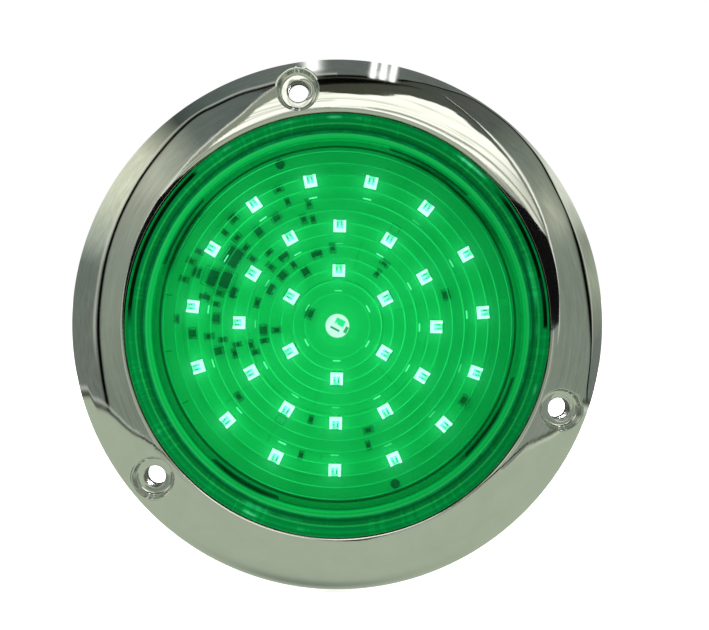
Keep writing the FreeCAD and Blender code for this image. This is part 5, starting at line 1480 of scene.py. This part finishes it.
band = n.math("MULTIPLY", n.step(n.math("SUBTRACT", beta, line_k), -0.012, 0.010), n.step(n.math("SUBTRACT", beta, line_u), 0.006, -0.006))
hold = n.math("ADD", n.step(clock, D(23), D(19)), n.step(clock, D(334), D(340)))
col = n.mix(n.math("MULTIPLY", band, hold), mid, G(6, 6, 4))
col = n.mix(n.step(n.math("SUBTRACT", beta, line_b), -0.004, 0.004), col, hi)
# between the seam and the cream patch on the left
gap = n.math("MULTIPLY", n.step(n.math("SUBTRACT", beta, line_w), 0.004, -0.006), n.math("MULTIPLY", n.step(clock, D(306), D(316)), n.step(clock, D(350), D(346))))
col = n.mix(gap, col, n.mix(fine, G(112, 118, 104), G(150, 156, 138)))
col = n.mix(n.step(n.math("ADD", n.math("SUBTRACT", beta, line_c), n.math("MULTIPLY", jag, 0.8)), 0.006, -0.007), col, cream)
near_r = n.math("MULTIPLY", n.step(clock, D(24), D(27)), n.step(clock, D(100), D(86)))
near_l = n.math("MULTIPLY", n.step(clock, D(280), D(300)), n.step(clock, D(348), D(346)))
dw = n.math("SUBTRACT", n.math("ADD", beta, n.math("MULTIPLY", jag, 0.22)), line_w)
col = n.mix(n.math("MULTIPLY", n.gauss(dw, 0.0, 0.0065), n.math("MULTIPLY", near_r, n.step(clock, D(74), D(62), 0.0, 0.85))), col, G(52, 55, 46))
wide = n.curve(clock, [(0.0, 0.001), (D(33), 0.001), (D(38), 0.005), (D(44), 0.0085), (D(50), 0.0095), (D(58), 0.007), (D(64), 0.005), (D(72), 0.0042), (D(86), 0.004), (D(100), 0.003), (D(285), 0.003), (D(303), 0.0062), (D(318), 0.0062), (D(330), 0.0066), (D(340), 0.005), (D(346), 0.004), (1.0, 0.001)])
white_w = n.math("MULTIPLY", n.gauss(dw, n.curve(clock, [(0.0, 0.010), (D(40), 0.012), (D(50), 0.013), (D(62), 0.009), (D(72), 0.003), (D(100), 0.0), (D(300), 0.0), (1.0, 0.002)]), wide), n.math("ADD", near_r, near_l, clamp=True))
col = n.mix(n.math("MULTIPLY", white_w, n.step(clock, D(64), D(76), 0.95, 0.62)), col, G(250, 252, 240, 1.05))
edge_b = n.gauss(n.math("SUBTRACT", beta, line_b), 0.0, thick)
col = n.mix(n.math("MINIMUM", n.math("MULTIPLY", edge_b, 1.35), 1.0), col, G(5, 6, 4))
above = n.math("DIVIDE", n.math("SUBTRACT", beta, line_b), thick)
col = n.mix(n.math("MULTIPLY", n.gauss(above, 2.3, 0.8), n.math("ADD", n.math("MULTIPLY", n.step(clock, D(44), D(58)), n.step(clock, D(100), D(90), 0.0, 0.45)), n.step(clock, D(258), D(272), 0.0, 0.42))), col, G(215, 218, 204))
bars = None
for c in (8.2, 10.3, 12.4):
    g = n.gauss(clock, D(c), D(0.62))
    bars = g if bars is None else n.math("ADD", bars, g)
bars = n.math("MULTIPLY", bars, n.step(beta, B(34), B(38)))
col = n.mix(n.math("MINIMUM", bars, 1.0), col, (2.2, 2.2, 2.1))
glint = n.math("MULTIPLY", n.gauss(clock, D(354.5), D(1.8)), n.step(beta, B(30), B(60)))
col = n.mix(n.math("MINIMUM", glint, 1.0), col, (1.6, 1.6, 1.55))
low = n.mix(n.math("MULTIPLY", n.gauss(clock, D(186), D(20)), n.gauss(beta, B(82), 0.17)), G(161, 171, 151), G(118, 128, 117))
low = n.mix(n.math("MULTIPLY", n.step(wob, 0.35, 0.7), 0.15), low, G(150, 158, 142))
col = n.mix(m_low, col, low)
for c in (low_in, low_out):
    d = n.math("SUBTRACT", clock, c)
    col = n.mix(n.math("MULTIPLY", n.gauss(d, 0.0, D(0.8)), 0.8), col, G(48, 50, 44))
    col = n.mix(n.math("MULTIPLY", n.gauss(d, D(1.6), D(0.6)), 0.35), col, G(225, 228, 215))
col = n.mix(n.step(beta, B(146), B(168)), col, (0.80, 0.82, 0.79))
lp = n.new("ShaderNodeLightPath")
env = n.mix(lp.outputs["Is Glossy Ray"], (0.98, 1.0, 0.98), col)
env = n.mix(lp.outputs["Is Camera Ray"], env, (1.0, 1.0, 1.0))
bg = n.new("ShaderNodeBackground")
n.put(bg.inputs["Color"], env)
bg.inputs["Strength"].default_value = 1.0
wo = n.new("ShaderNodeOutputWorld")
n.t.links.new(bg.outputs[0], wo.inputs["Surface"])

# pale floor, a little below the flange's lowest point
fm, fn = material("pale_floor")
sh = principled(fn, Base_Color=fn.mix(fn.noise(fn.coords("Object"), 6.0, 3.0, 0.5), (0.62, 0.62, 0.615), (0.66, 0.66, 0.655)), Roughness=0.85)
fn.put(sh.inputs["Emission Color"], (1.0, 1.0, 1.0))
sh.inputs["Emission Strength"].default_value = 0.72
finish_mat(fn, sh.outputs[0])
fme = bpy.data.meshes.new("floor")
S = 12.0
fme.from_pydata([(-S, -S, -0.0702), (S, -S, -0.0702), (S, S, -0.0702), (-S, S, -0.0702)], [], [(0, 1, 2, 3)])
floor = new_object("floor", fme, [fm])
floor.visible_glossy = False

# a dark card behind the camera, seen only in reflections
cm, cn = material("dark_card")
sh = principled(cn, Base_Color=cn.mix(cn.noise(cn.coords("Object"), 9.0), (0.002, 0.002, 0.002), (0.004, 0.004, 0.004)), Roughness=1.0)
sh.inputs["Specular IOR Level"].default_value = 0.0
finish_mat(cn, sh.outputs[0])
cme = bpy.data.meshes.new("dark_card")
card_pts = [(-46, -10), (30, -10), (60, -10), (99, -8), (116, 6), (131, 29), (135, 50), (82, 43), (31, 21), (14, 11), (-15, 6), (-27, 18), (-48, 31), (-66, 34), (-64, 18), (-55, 2)]
card_v = [(x * MM, -0.335, z * MM) for x, z in card_pts]
card_f = [tuple(range(len(card_pts)))]
# thin strips beside it draw the seam that runs round the lip's lower side
for line, w in (([(103, -75, 121), (76, -63, 125), (48.5, -51, 130), (33, -44.5, 135), (23, -40.5, 141), (13, -38, 150), (6, -37, 160), (5.5, -52, 166), (4.5, -62, 172), (-1, -58, 179), (-5, -50, 183), (-5.8, -34, 189)], 4.5),
                ([(-126, -79, 240), (-90, -62, 237.5), (-58, -47.5, 235), (-40, -38, 231), (-25.5, -31, 226), (-17, -25.5, 221)], 5.0)):
    b0 = len(card_v)
    for x, z, th in line:
        u, v = math.sin(math.radians(th)), math.cos(math.radians(th))
        card_v += [((x - u * w) * MM, -0.3352, (z - v * w) * MM), ((x + u * w) * MM, -0.3352, (z + v * w) * MM)]
    card_f += [(b0 + 2 * i, b0 + 2 * i + 1, b0 + 2 * i + 3, b0 + 2 * i + 2) for i in range(len(line) - 1)]
cme.from_pydata(card_v, [], card_f)
card = new_object("dark_card", cme, [cm])
card.visible_camera = False
card.visible_diffuse = False
card.visible_shadow = False
card.visible_transmission = False


def area(name, loc, target, size, power, color=(1, 1, 1)):
    li = bpy.data.lights.new(name, "AREA")
    li.shape = "RECTANGLE"
    li.size, li.size_y = size
    li.energy = power
    li.color = color
    o = bpy.data.objects.new(name, li)
    o.location = loc
    o.rotation_euler = (Vector(target) - Vector(loc)).to_track_quat("-Z", "Y").to_euler()
    scene.collection.objects.link(o)
    return o


key = area("key", (-0.35, -0.55, 0.75), (0, 0, 0), (0.5, 0.35), 3.2, (1.0, 0.99, 0.97))
rim = area("back_fill", (0.45, 0.65, 0.45), (0, 0.03, 0), (0.4, 0.4), 3.0, (0.98, 0.99, 1.0))
rim2 = area("back_low", (-0.6, 0.5, 0.15), (0, 0.03, 0), (0.25, 0.5), 2.0)
# straight behind, where the flange's shoulder never mirrors it to the front
gleam = area("back_gleam", (0.06, 0.95, 0.13), (0, 0.02, 0), (0.18, 0.10), 4.0, (0.99, 1.0, 1.0))
for li in (key, rim, rim2, gleam):
    li.visible_glossy = li is gleam
    li.visible_camera = False

cam = bpy.data.cameras.new("camera")
cam_o = bpy.data.objects.new("camera", cam)
scene.collection.objects.link(cam_o)
cam.sensor_width = 36.0
cam.lens = 1187.0 * 36.0 / 709.0
cam.clip_start, cam.clip_end = 0.01, 50.0
cam_o.location = (0.0029, -0.3166, 0.0090)
yaw, pitch = math.radians(0.29), math.radians(-1.14)
fwd = Vector((math.sin(yaw) * math.cos(pitch), math.cos(yaw) * math.cos(pitch), math.sin(pitch)))
cam_o.rotation_euler = fwd.to_track_quat("-Z", "Y").to_euler()
scene.camera = cam_o
scene.view_settings.view_transform = "Standard"
scene.view_settings.look = "None"
